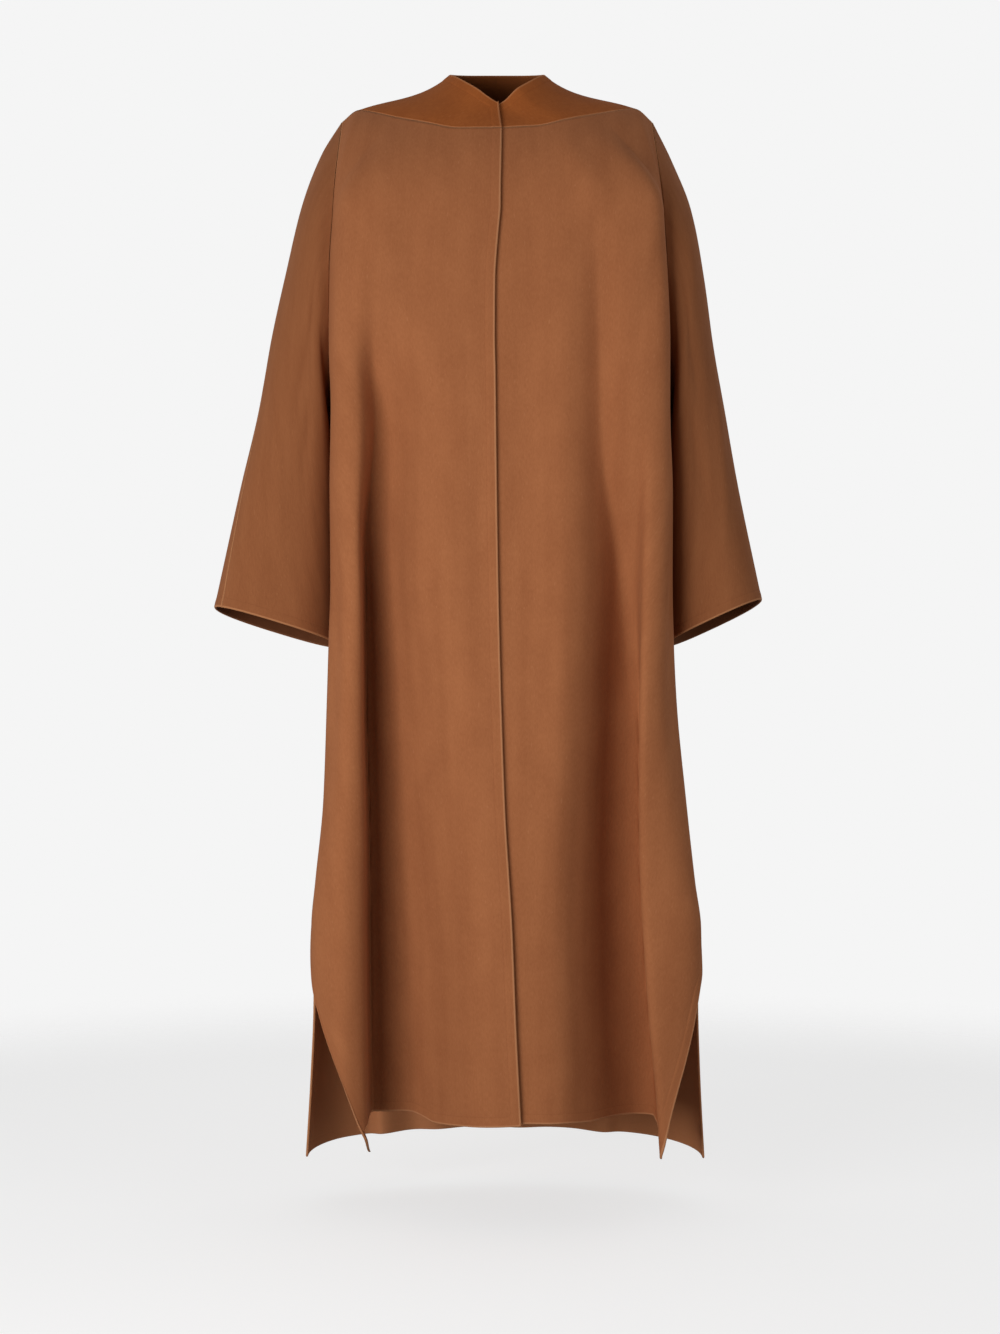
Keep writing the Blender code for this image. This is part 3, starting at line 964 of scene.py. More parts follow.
@dataclass
class ClothShell:
    """Turns a cloth grid into a closed thin shell with soft, felled edges.

    Attributes:
        wall: The cloth's thickness, in millimetres like every measure here.
        edge_swell: How much thicker a felled band is.
        felled_ends: The distances from a free edge between which that band thins out.
        seam_ridge: The height of the ridge at a seam.
        seam_width: Half the ridge's width.
        rim_bulge: How far the rim bulges past a free edge, as a share of the thickness.
        rim_steps: How many loops of points round the rim has.
    """

    wall: float = 2.4
    edge_swell: float = 0.55
    felled_ends: tuple[float, float] = (9.0, 13.0)
    seam_ridge: float = 0.35
    seam_width: float = 3.0
    rim_bulge: float = 0.5
    rim_steps: int = 3

    def swell(self, free: Array, seam: Array) -> Array:
        """Extra thickness of the outer face: felled bands at free edges, a low ridge at seams.

        Args:
            free: Each point's distance from the nearest free edge.
            seam: Its distance from the nearest seam.

        Returns:
            The extra thickness at each point.
        """
        band = self.edge_swell * (1 - ramp(free, *self.felled_ends))
        ridge = self.seam_ridge * np.exp(-((seam / self.seam_width) ** 2))
        return band + ridge

    def build(self, name: str, grid: ClothGrid) -> bpy.types.Object:
        """Makes the shell's object.

        Args:
            name: The piece's name.
            grid: Its inner face.

        Returns:
            The linked object, with a UV map in cloth metres and its edge distances as attributes.
        """
        free, seam = grid.free_distance(), grid.edge_distance(grid.sewn)
        thick = self.wall + self.swell(free, seam)
        up = grid.normals() * thick[..., None]
        rows, columns = thick.shape
        size = rows * columns
        ring = self.boundary(rows, columns)
        loops = self.rim_loops(grid, ring, up, thick)
        flat_ring = np.array([row * columns + column for row, column in ring])
        depths = [np.full(len(ring), 1 - (step + 1) / (len(loops) + 1)) for step in range(len(loops))]
        points = np.concatenate([grid.points.reshape(-1, 3), (grid.points + up).reshape(-1, 3)] + loops)
        values = {
            "free_edge": self.per_point(free.reshape(-1), flat_ring, len(loops)) * MILLIMETRE,
            "seam_edge": self.per_point(seam.reshape(-1), flat_ring, len(loops)) * MILLIMETRE,
            "inner_face": np.concatenate([np.ones(size), np.zeros(size), *depths]),
        }
        cloth = self.per_point(grid.cloth(), flat_ring, len(loops)) * MILLIMETRE
        faces = self.faces(rows, columns, flat_ring, len(loops), grid.flip)
        return self.mesh_object(name, points * MILLIMETRE, faces, values, cloth)

    @staticmethod
    def boundary(rows: int, columns: int) -> list[tuple[int, int]]:
        """The grid's boundary.

        Args:
            rows: The grid's rows.
            columns: Its columns.

        Returns:
            The row and the column of each of its points, in order round it.
        """
        ring = [(0, column) for column in range(columns)]
        ring += [(row, columns - 1) for row in range(1, rows)]
        ring += [(rows - 1, column) for column in range(columns - 2, -1, -1)]
        ring += [(row, 0) for row in range(rows - 2, 0, -1)]
        return ring

    def rim_loops(self, grid: ClothGrid, ring: list[tuple[int, int]], up: Array, thick: Array) -> list[Array]:
        """Loops of a rounded rim between the two faces, bulging past free edges only.

        Args:
            grid: The inner face.
            ring: Its boundary.
            up: The way from the inner face to the outer one, at each point.
            thick: The length of that way.

        Returns:
            The loops' points, from the inner face to the outer one.
        """
        outward = np.zeros_like(grid.points)
        for edge in Edge:
            outer, inner = grid.edge_slices(edge)
            bulge = self.rim_bulge if edge in grid.finished else 0.0
            if grid.slit is not None and edge in (Edge.START, Edge.END) and edge in grid.sewn:
                bulge = self.rim_bulge * grid.slit[outer][:, None]
            outward[outer] += bulge * unit(grid.points[outer] - grid.points[inner])
        index = tuple(np.array(ring).T)
        push = outward[index] * thick[index][:, None]
        loops = []
        for step in range(1, self.rim_steps + 1):
            turn = math.pi * step / (self.rim_steps + 1)
            raised = grid.points[index] + up[index] * (0.5 - 0.5 * math.cos(turn))
            loops.append(raised + push * math.sin(turn))
        return loops

    @staticmethod
    def per_point(flat: Array, ring: Array, loop_count: int) -> Array:
        """A grid's flattened values, repeated for both faces and every rim loop."""
        return np.concatenate([flat, flat] + [flat[ring]] * loop_count)

    @staticmethod
    def faces(rows: int, columns: int, ring: Array, loop_count: int, flip: bool) -> Array:
        """Quads of both faces and of the rim between them.

        Args:
            rows: The grid's rows.
            columns: Its columns.
            ring: The indices of its boundary's points.
            loop_count: How many loops of points the rim has.
            flip: Whether the quads are turned over.

        Returns:
            Four indices for each quad.
        """
        corner = (np.arange(rows - 1)[:, None] * columns + np.arange(columns - 1)).reshape(-1)
        quad = np.stack([corner, corner + 1, corner + columns + 1, corner + columns], axis=1)
        size = rows * columns
        outer, inner = quad + size, quad[:, ::-1]
        chain = [ring]
        chain += [2 * size + loop * len(ring) + np.arange(len(ring)) for loop in range(loop_count)]
        chain += [ring + size]
        rim = []
        for low, high in zip(chain[:-1], chain[1:]):
            rim.append(np.stack([low, np.roll(low, -1), np.roll(high, -1), high], axis=1))
        every = np.concatenate([outer, inner] + rim)
        return every[:, ::-1] if flip else every

    @staticmethod
    def mesh_object(
        name: str, points: Array, faces: Array, values: dict[str, Array], cloth: Array
    ) -> bpy.types.Object:
        """A linked mesh object with smooth faces, point attributes and a UV map.

        Args:
            name: The object's name.
            points: Its points, in metres.
            faces: Four indices for each face.
            values: A value for each point, by the attribute's name.
            cloth: Where each point lies on the flat cloth, in metres.

        Returns:
            The object.
        """
        mesh = bpy.data.meshes.new(name)
        mesh.vertices.add(len(points))
        mesh.vertices.foreach_set("co", points.astype(np.float32).reshape(-1))
        mesh.loops.add(faces.size)
        mesh.loops.foreach_set("vertex_index", faces.astype(np.int32).reshape(-1))
        mesh.polygons.add(len(faces))
        mesh.polygons.foreach_set("loop_start", np.arange(0, faces.size, 4, dtype=np.int32))
        mesh.update(calc_edges=True)
        mesh.polygons.foreach_set("use_smooth", np.ones(len(faces), bool))
        for key, numbers in values.items():
            attribute = mesh.attributes.new(key, "FLOAT", "POINT")
            attribute.data.foreach_set("value", numbers.astype(np.float32))
        layer = mesh.uv_layers.new(name="cloth")
        layer.data.foreach_set("uv", cloth[faces.reshape(-1)].astype(np.float32).reshape(-1))
        mesh.validate()
        obj = bpy.data.objects.new(name, mesh)
        bpy.context.scene.collection.objects.link(obj)
        return obj


# -------------------------------------------------------------------------------------------------
# Finishes
# -------------------------------------------------------------------------------------------------


@dataclass(frozen=True)
class Grain:
    """Noise that is drawn out along the cloth.

    Attributes:
        across: Cycles for each metre across the cloth.
        along: Cycles for each metre down it.
        detail: How many finer layers the noise has.
        roughness: How strong they are.
    """

    across: float
    along: float
    detail: float
    roughness: float


@dataclass
class NodeBoard:
    """A short hand for laying nodes in one tree."""

    tree: bpy.types.NodeTree

    def add(self, kind: str, **settings: object) -> bpy.types.Node:
        """A new node.

        Args:
            kind: The node's type.
            **settings: Properties to set on it.

        Returns:
            The node.
        """
        node = self.tree.nodes.new(kind)
        for key, value in settings.items():
            setattr(node, key, value)
        return node

    def feed(self, node: bpy.types.Node, socket: str | int, source: object) -> None:
        """Links a socket to another one, or sets its value.

        Args:
            node: The node that is fed.
            socket: Its input.
            source: An output to link, or a value; a colour has three numbers.
        """
        target = node.inputs[socket]
        if isinstance(source, bpy.types.NodeSocket):
            self.tree.links.new(source, target)
        elif target.type == "RGBA":
            target.default_value = (*source, 1.0)
        else:
            target.default_value = source

    def feed_all(self, node: bpy.types.Node, sources: dict[str, object]) -> None:
        """Links or sets several sockets of a node."""
        for socket, source in sources.items():
            self.feed(node, socket, source)

    def maths(self, operation: str, *sources: object) -> bpy.types.NodeSocket:
        """The result of a Math node.

        Args:
            operation: What the node does.
            *sources: Its inputs, as outputs to link or as numbers.

        Returns:
            The node's output.
        """
        node = self.add("ShaderNodeMath", operation=operation)
        for index, source in enumerate(sources):
            self.feed(node, index, source)
        return node.outputs[0]

    def mix(self, factor: object, first: object, second: object) -> bpy.types.NodeSocket:
        """The result of a colour Mix node.

        Args:
            factor: How much of the second colour shows.
            first: The first colour.
            second: The second colour.

        Returns:
            The node's output.
        """
        node = self.add("ShaderNodeMix", data_type="RGBA")
        for index, source in ((0, factor), (6, first), (7, second)):
            self.feed(node, index, source)
        return node.outputs[2]

    def remap(
        self, value: object, low: float, high: float, to_low: object, to_high: object
    ) -> bpy.types.NodeSocket:
        """The result of a smooth Map Range node.

        Args:
            value: The value that is mapped.
            low: The value that becomes to_low.
            high: The value that becomes to_high.
            to_low: The result at the low end.
            to_high: The result at the high end.

        Returns:
            The node's output.
        """
        node = self.add("ShaderNodeMapRange", interpolation_type="SMOOTHSTEP")
        for index, source in enumerate((value, low, high, to_low, to_high)):
            self.feed(node, index, source)
        return node.outputs[0]

    def noise(self, place: object, scale: float, detail: float, roughness: float) -> bpy.types.NodeSocket:
        """The value of a Noise Texture node.

        Args:
            place: Where the noise is read.
            scale: Its cycles for each metre.
            detail: How many finer layers it has.
            roughness: How strong they are.

        Returns:
            The node's output.
        """
        node = self.add("ShaderNodeTexNoise")
        self.feed_all(node, {"Vector": place, "Scale": scale, "Detail": detail, "Roughness": roughness})
        return node.outputs["Fac"]

    def grain(self, cloth: object, grain: Grain) -> bpy.types.NodeSocket:
        """The value of a grain at a place on the cloth.

        Args:
            cloth: The place, in cloth metres.
            grain: The grain.

        Returns:
            The noise's output.
        """
        stretched = self.add("ShaderNodeMapping", vector_type="POINT")
        self.feed_all(stretched, {"Vector": cloth, "Scale": (grain.across, grain.along, 1.0)})
        return self.noise(stretched.outputs[0], 1.0, grain.detail, grain.roughness)

    def attribute(self, name: str) -> bpy.types.NodeSocket:
        """The value of a point attribute."""
        return self.add("ShaderNodeAttribute", attribute_name=name).outputs["Fac"]


def new_material(name: str) -> tuple[bpy.types.Material, NodeBoard, bpy.types.Node]:
    """A new material.

    Args:
        name: Its name.

    Returns:
        The material, its board and its Principled BSDF.
    """
    made = bpy.data.materials.new(name)
    made.use_nodes = True
    return made, NodeBoard(made.node_tree), made.node_tree.nodes["Principled BSDF"]


def new_group(name: str, inputs: dict[str, float], outputs: Sequence[str]) -> NodeBoard:
    """An empty shader group with named sockets.

    Args:
        name: The group's name.
        inputs: Float inputs and their defaults; the group also takes a "Cloth" vector.
        outputs: Float outputs.

    Returns:
        A board to lay the group out on.
    """
    group = bpy.data.node_groups.new(name, "ShaderNodeTree")
    group.interface.new_socket("Cloth", in_out="INPUT", socket_type="NodeSocketVector")
    for key, value in inputs.items():
        socket = group.interface.new_socket(key, in_out="INPUT", socket_type="NodeSocketFloat")
        socket.default_value = value
    for key in outputs:
        group.interface.new_socket(key, in_out="OUTPUT", socket_type="NodeSocketFloat")
    return NodeBoard(group)


@dataclass(frozen=True)
class BrushedNap:
    """The brushed nap: short hairs laid down the cloth, soft brushing bands and cloudy mottling.

    Attributes:
        name: The shader group's name.
        hair: The finest hairs.
        fuzz: Tufts of them.
        bands: Broad streaks down the cloth.
        mottle: Clouds.
        fleck: Stray light hairs.
        fleck_range: The values between which a fleck sets in.
        fuzz_tone: How much the tufts change the tone.
        hair_height: How much the hairs raise the surface.
        fuzz_height: How much the tufts do.
        middle: The noise's middle value.
    """

    name: str = "brushed_nap"
    hair: Grain = Grain(1500.0, 260.0, 3.0, 0.6)
    fuzz: Grain = Grain(420.0, 150.0, 2.0, 0.55)
    bands: Grain = Grain(34.0, 2.2, 3.0, 0.5)
    mottle: Grain = Grain(26.0, 15.0, 3.0, 0.55)
    fleck: Grain = Grain(300.0, 110.0, 1.0, 0.4)
    fleck_range: tuple[float, float] = (0.70, 0.76)
    fuzz_tone: float = 0.35
    hair_height: float = 0.6
    fuzz_height: float = 0.4
    middle: float = 0.5

    def group(self) -> bpy.types.NodeTree:
        """The nap as a shared shader group, made the first time that it is asked for."""
        made = bpy.data.node_groups.get(self.name)
        if made:
            return made
        board = new_group(self.name, {"Hair": 1.0, "Bands": 1.0, "Mottle": 1.0}, ("Tone", "Height", "Fleck"))
        given = board.add("NodeGroupInput").outputs
        result = board.add("NodeGroupOutput")
        hair = board.grain(given["Cloth"], self.hair)
        fuzz = board.grain(given["Cloth"], self.fuzz)
        bands = board.grain(given["Cloth"], self.bands)
        mottle = board.grain(given["Cloth"], self.mottle)
        tone = board.maths("MULTIPLY", board.maths("SUBTRACT", hair, self.middle), given["Hair"])
        for noise, strength in ((fuzz, self.fuzz_tone), (bands, given["Bands"]), (mottle, given["Mottle"])):
            change = board.maths("MULTIPLY", board.maths("SUBTRACT", noise, self.middle), strength)
            tone = board.maths("ADD", tone, change)
        hairs = board.maths("MULTIPLY", hair, self.hair_height)
        height = board.maths("ADD", hairs, board.maths("MULTIPLY", fuzz, self.fuzz_height))
        fleck = board.remap(board.grain(given["Cloth"], self.fleck), *self.fleck_range, 0.0, 1.0)
        board.feed_all(result, {"Tone": tone, "Height": height, "Fleck": fleck})
        return board.tree


@dataclass(frozen=True)
class FelledEdge:
    """Felled edges and seams: a painted highlight along each edge, and small hand stitches beside it with
    painted shade.

    Attributes:
        name: The shader group's name.
        rim_width: The width of the painted highlight along the edge, in metres like every length here.
        stitch_line: The stitches' distance from the edge.
        stitch_pitch: The length from one stitch to the next.
        fray: The noise that roughens the painted highlight's inner border.
        fray_width: How far it moves that border.
        free_rim: Where the painted highlight ends at a free edge, in its widths.
        seam_rim: Where it ends at a seam.
        groove: Half the width of the stitches' groove.
        soft_groove: Half the width of the dip around it.
        dash: The shares of the pitch between which a stitch sets in.
        dash_least: How much shows between two stitches.
        soft_depth: The depth of the dip.
        stitch_depth: The depth of a stitch.
    """

    name: str = "felled_edge"
    rim_width: float = 0.0011
    stitch_line: float = 0.012
    stitch_pitch: float = 0.006
    fray: Grain = Grain(900.0, 900.0, 2.0, 0.6)
    fray_width: float = 0.0012
    free_rim: tuple[float, float] = (0.4, 1.6)
    seam_rim: tuple[float, float] = (0.6, 1.7)
    groove: float = 0.0012
    soft_groove: float = 0.004
    dash: tuple[float, float] = (0.35, 0.55)
    dash_least: float = 0.45
    soft_depth: float = 0.6
    stitch_depth: float = 0.4

    def group(self) -> bpy.types.NodeTree:
        """The edges as a shared shader group, made the first time that it is asked for."""
        made = bpy.data.node_groups.get(self.name)
        if made:
            return made
        inputs = {
            "Free Edge": 1.0,
            "Seam Edge": 1.0,
            "Rim Width": self.rim_width,
            "Stitch Line": self.stitch_line,
            "Stitch Pitch": self.stitch_pitch,
        }
        board = new_group(self.name, inputs, ("Rim", "Stitch", "Height"))
        given = board.add("NodeGroupInput").outputs
        result = board.add("NodeGroupOutput")
        fray = board.maths("MULTIPLY", board.grain(given["Cloth"], self.fray), self.fray_width)
        fray = board.maths("SUBTRACT", fray, self.fray_width / 2)
        # The painted highlight: a thin band of lighter colour along free edges and seams, roughened by the
        # fray.
        highlights = []
        for edge, ends in (("Free Edge", self.free_rim), ("Seam Edge", self.seam_rim)):
            off_edge = board.maths("DIVIDE", board.maths("ADD", given[edge], fray), given["Rim Width"])
            highlights.append(board.remap(off_edge, *ends, 1.0, 0.0))
        off = board.maths("ABSOLUTE", board.maths("SUBTRACT", given["Free Edge"], given["Stitch Line"]))
        split = board.add("ShaderNodeSeparateXYZ")
        board.feed(split, 0, given["Cloth"])
        run = board.maths("ADD", split.outputs[0], split.outputs[1])
        dash = board.maths("FRACT", board.maths("DIVIDE", run, given["Stitch Pitch"]))
        shown = board.remap(dash, *self.dash, self.dash_least, 1.0)
        # The stitches' dimples: they sink the surface and carry painted shade.
        stitch = board.maths("MULTIPLY", board.remap(off, 0.0, self.groove, 1.0, 0.0), shown)
        dip = board.maths("MULTIPLY", board.remap(off, 0.0, self.soft_groove, 1.0, 0.0), -self.soft_depth)
        height = board.maths("ADD", dip, board.maths("MULTIPLY", stitch, -self.stitch_depth))
        board.feed_all(result, {"Rim": board.maths("MAXIMUM", *highlights), "Stitch": stitch, "Height": height})
        return board.tree


@dataclass(frozen=True)
class NapFinish:
    """Brushed double-faced cashmere.

    Attributes:
        name: The material's name.
        deep: The colour between the hairs.
        tip: The colour of their tips.
        rim: The colour of the flecks and of the sheen, and of the painted highlight along felled edges and
            seams.
        inner_colour: The colour of the inner face, partly the cloth's own other side and partly painted light
            and shade for the coat's shaded inside.
        hair: How much the hairs change the tone.
        bands: How much the brushing bands do.
        mottle: How much the clouds do.
        tone_reach: The nap's tone at full depth and at the tips, as a distance from 0.
        fleck: The flecks' strength.
        stitch: The strength of the painted shade in the stitches' dimples.
        edge: The strength of the painted highlight along edges and seams.
        inner_share: How much of the inner face's colour shows there.
        inner_ends: The attribute's values between which the inner face begins.
        roughness: The roughness at full depth and at the tips.
        sheen: The sheen's strength.
        sheen_roughness: Its roughness.
        gloss: The level of its mirror reflection.
        bump: The bump's strength.
        bump_distance: The bump's height, in metres.
    """

    name: str
    deep: Triple
    tip: Triple
    rim: Triple
    # Lighter than the outer face: partly the cloth's own other side, partly painted light on the shaded
    # inside seen through the slits.
    inner_colour: Triple = (0.5, 0.2, 0.085)
    hair: float = 0.35
    bands: float = 0.4
    mottle: float = 0.35
    tone_reach: float = 0.5
    fleck: float = 0.15
    stitch: float = 0.35
    edge: float = 0.65
    inner_share: float = 0.8
    inner_ends: tuple[float, float] = (0.5, 1.0)
    roughness: tuple[float, float] = (1.0, 0.84)
    sheen: float = 0.25
    sheen_roughness: float = 0.45
    gloss: float = 0.18
    bump: float = 0.35
    bump_distance: float = 0.0006

    def material(self) -> bpy.types.Material:
        """The finish's material, made once."""
        made = bpy.data.materials.get(self.name)
        if made:
            return made
        made, board, shader = new_material(self.name)
        cloth = board.add("ShaderNodeUVMap", uv_map="cloth").outputs[0]
        nap = board.add("ShaderNodeGroup", node_tree=BrushedNap().group())
        board.feed_all(nap, {"Cloth": cloth, "Hair": self.hair, "Bands": self.bands, "Mottle": self.mottle})
        edge = board.add("ShaderNodeGroup", node_tree=FelledEdge().group())
        distances = {"Free Edge": board.attribute("free_edge"), "Seam Edge": board.attribute("seam_edge")}
        board.feed_all(edge, {"Cloth": cloth, **distances})
        tone_ends = (-self.tone_reach, self.tone_reach)
        colour = board.mix(board.remap(nap.outputs["Tone"], *tone_ends, 0.0, 1.0), self.deep, self.tip)
        colour = board.mix(board.maths("MULTIPLY", nap.outputs["Fleck"], self.fleck), colour, self.rim)
        # Painted shade in the stitches' dimples: the colour darkens towards the deep one.
        colour = board.mix(board.maths("MULTIPLY", edge.outputs["Stitch"], self.stitch), colour, self.deep)
        # Painted highlight: edges and seams are mixed towards the lighter colour.
        colour = board.mix(board.maths("MULTIPLY", edge.outputs["Rim"], self.edge), colour, self.rim)
        # The inner face gets its own colour, which carries painted light and shade.
        inner = board.remap(board.attribute("inner_face"), *self.inner_ends, 0.0, self.inner_share)
        bump = board.add("ShaderNodeBump")
        height = board.maths("ADD", nap.outputs["Height"], edge.outputs["Height"])
        board.feed_all(bump, {"Strength": self.bump, "Distance": self.bump_distance, "Height": height})
        look = {
            "Base Color": board.mix(inner, colour, self.inner_colour),
            "Roughness": board.remap(nap.outputs["Tone"], *tone_ends, *self.roughness),
            "Sheen Weight": self.sheen,
            "Sheen Roughness": self.sheen_roughness,
            "Sheen Tint": self.rim,
            "Specular IOR Level": self.gloss,
            "Normal": bump.outputs[0],
        }
        board.feed_all(shader, look)
        return made


@dataclass(frozen=True)
class StudFinish:
    """Bronze coloured plating on the press stud.

    Attributes:
        name: The material's name.
        base: The plating's colour.
        worn: How light the darkest worn spots are, as a share of that colour.
        wear: The wear noise's scale, detail and roughness.
        wear_range: The noise's values between which the roughness changes.
        roughness: The roughness there.
    """

    name: str = "stud_plating"
    base: Triple = (0.32, 0.22, 0.14)
    worn: float = 0.6
    wear: Triple = (900.0, 3.0, 0.6)
    wear_range: tuple[float, float] = (0.3, 0.7)
    roughness: tuple[float, float] = (0.28, 0.45)

    def material(self) -> bpy.types.Material:
        """The plating, with faint wear."""
        made, board, shader = new_material(self.name)
        wear = board.noise(board.add("ShaderNodeTexCoord").outputs["Object"], *self.wear)
        dark = tuple(self.worn * value for value in self.base)
        look = {
            "Base Color": board.mix(wear, dark, self.base),
            "Roughness": board.remap(wear, *self.wear_range, *self.roughness),
            "Metallic": 1.0,
        }
        board.feed_all(shader, look)
        return made


CASHMERE = NapFinish(
    "cashmere_nap",
    deep=(0.275, 0.088, 0.032),
    tip=(0.44, 0.162, 0.062),
    rim=(0.55, 0.25, 0.115),
)
# The body's cloth painted darker all over: painted shade on the sleeves. Its inner face is near black:
# painted shade inside the sleeves.
SLEEVE_CASHMERE_PAINTED_SHADE = NapFinish(
    "sleeve_nap",
    deep=(0.215, 0.068, 0.024),
    tip=(0.345, 0.125, 0.046),
    rim=(0.52, 0.23, 0.10),
    inner_colour=(0.08, 0.025, 0.009),
)
YOKE_CASHMERE = NapFinish(
    "yoke_nap",
    deep=(0.24, 0.058, 0.0115),
    tip=(0.44, 0.127, 0.0275),
    rim=(0.50, 0.20, 0.08),
    # The inner face is darker than the outer one.
    inner_colour=(0.2, 0.055, 0.013),
    bands=0.12,
    mottle=0.4,
    sheen=0.2,
)


# -------------------------------------------------------------------------------------------------
# The coat's pieces
# -------------------------------------------------------------------------------------------------


@dataclass
class Piece:
    """What every cut piece of the coat has.

    Attributes:
        shell: How its shell is made.
        finish: Its finish.
        slot: The name of its material slot in the frame; not used.
        allowance: What is added to its width and length on the flat cloth, in metres.
        spare: What is added to the length that its area needs, in metres.
    """

    shell: ClothShell = field(default_factory=ClothShell)
    finish: NapFinish = CASHMERE
    slot: str = "cashmere"
    allowance: float = 0.01
    spare: float = 0.005

    def cut_size(self, points: Array, area: float) -> tuple[float, float]:
        """The size of the cloth that a piece is cut from.

        Args:
            points: Its inner face.
            area: Its area in square metres.

        Returns:
            Width and length in metres.
        """
        across = np.linalg.norm(np.diff(points, axis=1), axis=-1).sum(axis=1).max() * MILLIMETRE
        down = np.linalg.norm(np.diff(points, axis=0), axis=-1).sum(axis=0).max() * MILLIMETRE
        width, length = float(across) + self.allowance, float(down) + self.allowance
        return width, max(length, area / width + self.spare)

    def make(self, node: str, grid: ClothGrid) -> bpy.types.Object:
        """Builds a piece's shell, and gives it its finish and its place in the frame.

        Args:
            node: The CAD node that the piece stands for.
            grid: Its inner face.

        Returns:
            The object.
        """
        obj = self.shell.build(f"cloth_{node}", grid)
        obj.data.materials.append(self.finish.material())
        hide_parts(node)
        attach(obj, "root")
        return obj


@dataclass
class BodyPanel(Piece):
    """A front, or half of the back, between the centre line and the side.

    Attributes:
        form: The coat's form.
        quarter_width: The width that the columns divide, in millimetres like every measure below.
        column_step: The usual distance between columns.
        fine_column: That distance at a finished edge.
        row_step: The usual distance between rows.
        fine_row: That distance at the hem.
        shoulder_step: The distance between rows above the chest.
    """

    form: ShoulderForm = field(default_factory=ShoulderForm)
    quarter_width: float = 400.0
    column_step: float = 3.6
    fine_column: float = 1.2
    row_step: float = 7.0
    fine_row: float = 1.6
    shoulder_step: float = 4.5

    def shares(self, side: Side, face: Face) -> Array:
        """Places across the panel on the seam line.

        Args:
            side: The panel's side.
            face: Its face.

        Returns:
            The columns' shares, from its centre edge to the armhole.
        """
        first = self.form.start_share(side, face)
        places = graded(self.quarter_width, self.column_step, self.fine_column, face is Face.FRONT, True)
        return first + places * (1.0 - first)

    def quarter(self, side: Side, face: Face) -> ClothGrid:
        """A quarter of the body, in rows from the shoulder to the hem.

        Args:
            side: The wearer's side.
            face: The front or the back.

        Returns:
            The quarter's grid with its creases.
        """
        body, shares = self.form.body, self.shares(side, face)
        across = (shares - shares[0]) / (shares[-1] - shares[0])
        hem = HEMS[side, face]
        hem_drop = hem.at("drop", body.spread(side, face, across, np.full(across.shape, hem.last_value())))
        chest_girth = body.spread(side, face, across, np.full(across.shape, body.chest_drop))
        count = int(body.chest_drop / self.shoulder_step)
        rows = self.form.fall(side, face, shares, chest_girth, count)
        girths = [chest_girth] * count
        length = body.hem_level - body.chest_drop
        for place in graded(length, self.row_step, self.fine_row, False, True):
            nominal = body.chest_drop + place * length
            stretch = ramp(nominal, body.underarm_drop, body.hem_level)
            drop = nominal + (hem_drop - body.hem_level) * stretch
            girth = body.spread(side, face, across, drop)
            girths.append(girth)
            rows.append(body.point(side, face, girth, drop))
        grid = ClothGrid(np.array(rows), (side is Side.LEFT) == (face is Face.FRONT))
        down = -grid.points[..., 2]
        dips = (crease.dip(np.array(girths), down) for crease in BODY_CREASES[side, face])
        grid.press_in(sum(dips), (Edge.END, Edge.TOP))
        return grid

    def in_slit(self, points: Array) -> Array:
        """Which points lie below the top of the side slits."""
        return points[..., 2] < -self.form.body.slit_top_drop

    def armhole_edge(self, points: Array) -> Array:
        """The edge that the sleeve is sewn to.

        Args:
            points: The panel's points.

        Returns:
            The points of its end column from the shoulder to the underarm.
        """
        column = points[:, -1]
        last = int(np.argmin(np.abs(column[:, 2] + self.form.body.underarm_drop)))
        return column[: last + 1].copy()


BODY_CREASES = {
    (Side.RIGHT, Face.FRONT): (
        Crease(232, 170, 150, 420, 3.0, 20.0),
        Crease(120, 60, 96, 330, 2.4, 26.0),
        Crease(60, 700, 66, 1320, 2.2, 22.0),
        Crease(118, 560, 110, 1200, -2.6, 20.0),
        Crease(20, 220, 26, 760, 1.2, 14.0),
        Crease(255, 520, 262, 900, 3.0, 16.0),
    ),
    (Side.LEFT, Face.FRONT): (
        Crease(236, 150, 150, 380, 3.0, 20.0),
        Crease(96, 50, 84, 300, 2.2, 26.0),
        Crease(70, 620, 60, 1320, 2.6, 24.0),
        Crease(120, 520, 128, 1200, -2.6, 20.0),
        Crease(30, 240, 24, 900, 1.4, 16.0),
        Crease(270, 480, 280, 960, 3.4, 18.0),
    ),
    (Side.RIGHT, Face.BACK): (
        Crease(225, 160, 150, 430, 3.5, 22.0),
        Crease(60, 90, 30, 420, 2.5, 30.0),
        Crease(130, 600, 134, 1320, -3.0, 24.0),
        Crease(280, 620, 286, 1250, 4.0, 20.0),
    ),
    (Side.LEFT, Face.BACK): (
        Crease(228, 170, 160, 400, 3.5, 22.0),
        Crease(90, 110, 60, 460, 2.2, 28.0),
        Crease(100, 560, 96, 1300, -3.0, 24.0),
        Crease(290, 560, 300, 1240, 4.0, 20.0),
    ),
}


@dataclass
class Front(BodyPanel):
    """One of the two fronts."""

    side: Side = Side.RIGHT

    def build(self) -> Array:
        """Builds the front and returns its armhole edge."""
        grid = self.quarter(self.side, Face.FRONT)
        grid.finished, grid.sewn = (Edge.START, Edge.BOTTOM), (Edge.TOP, Edge.END)
        edge = self.armhole_edge(grid.points)
        grid.draw_back(Edge.TOP, Edge.END)
        grid.slit = self.in_slit(grid.points)
        self.make(f"front_{self.side.name.lower()}", grid)
        return edge


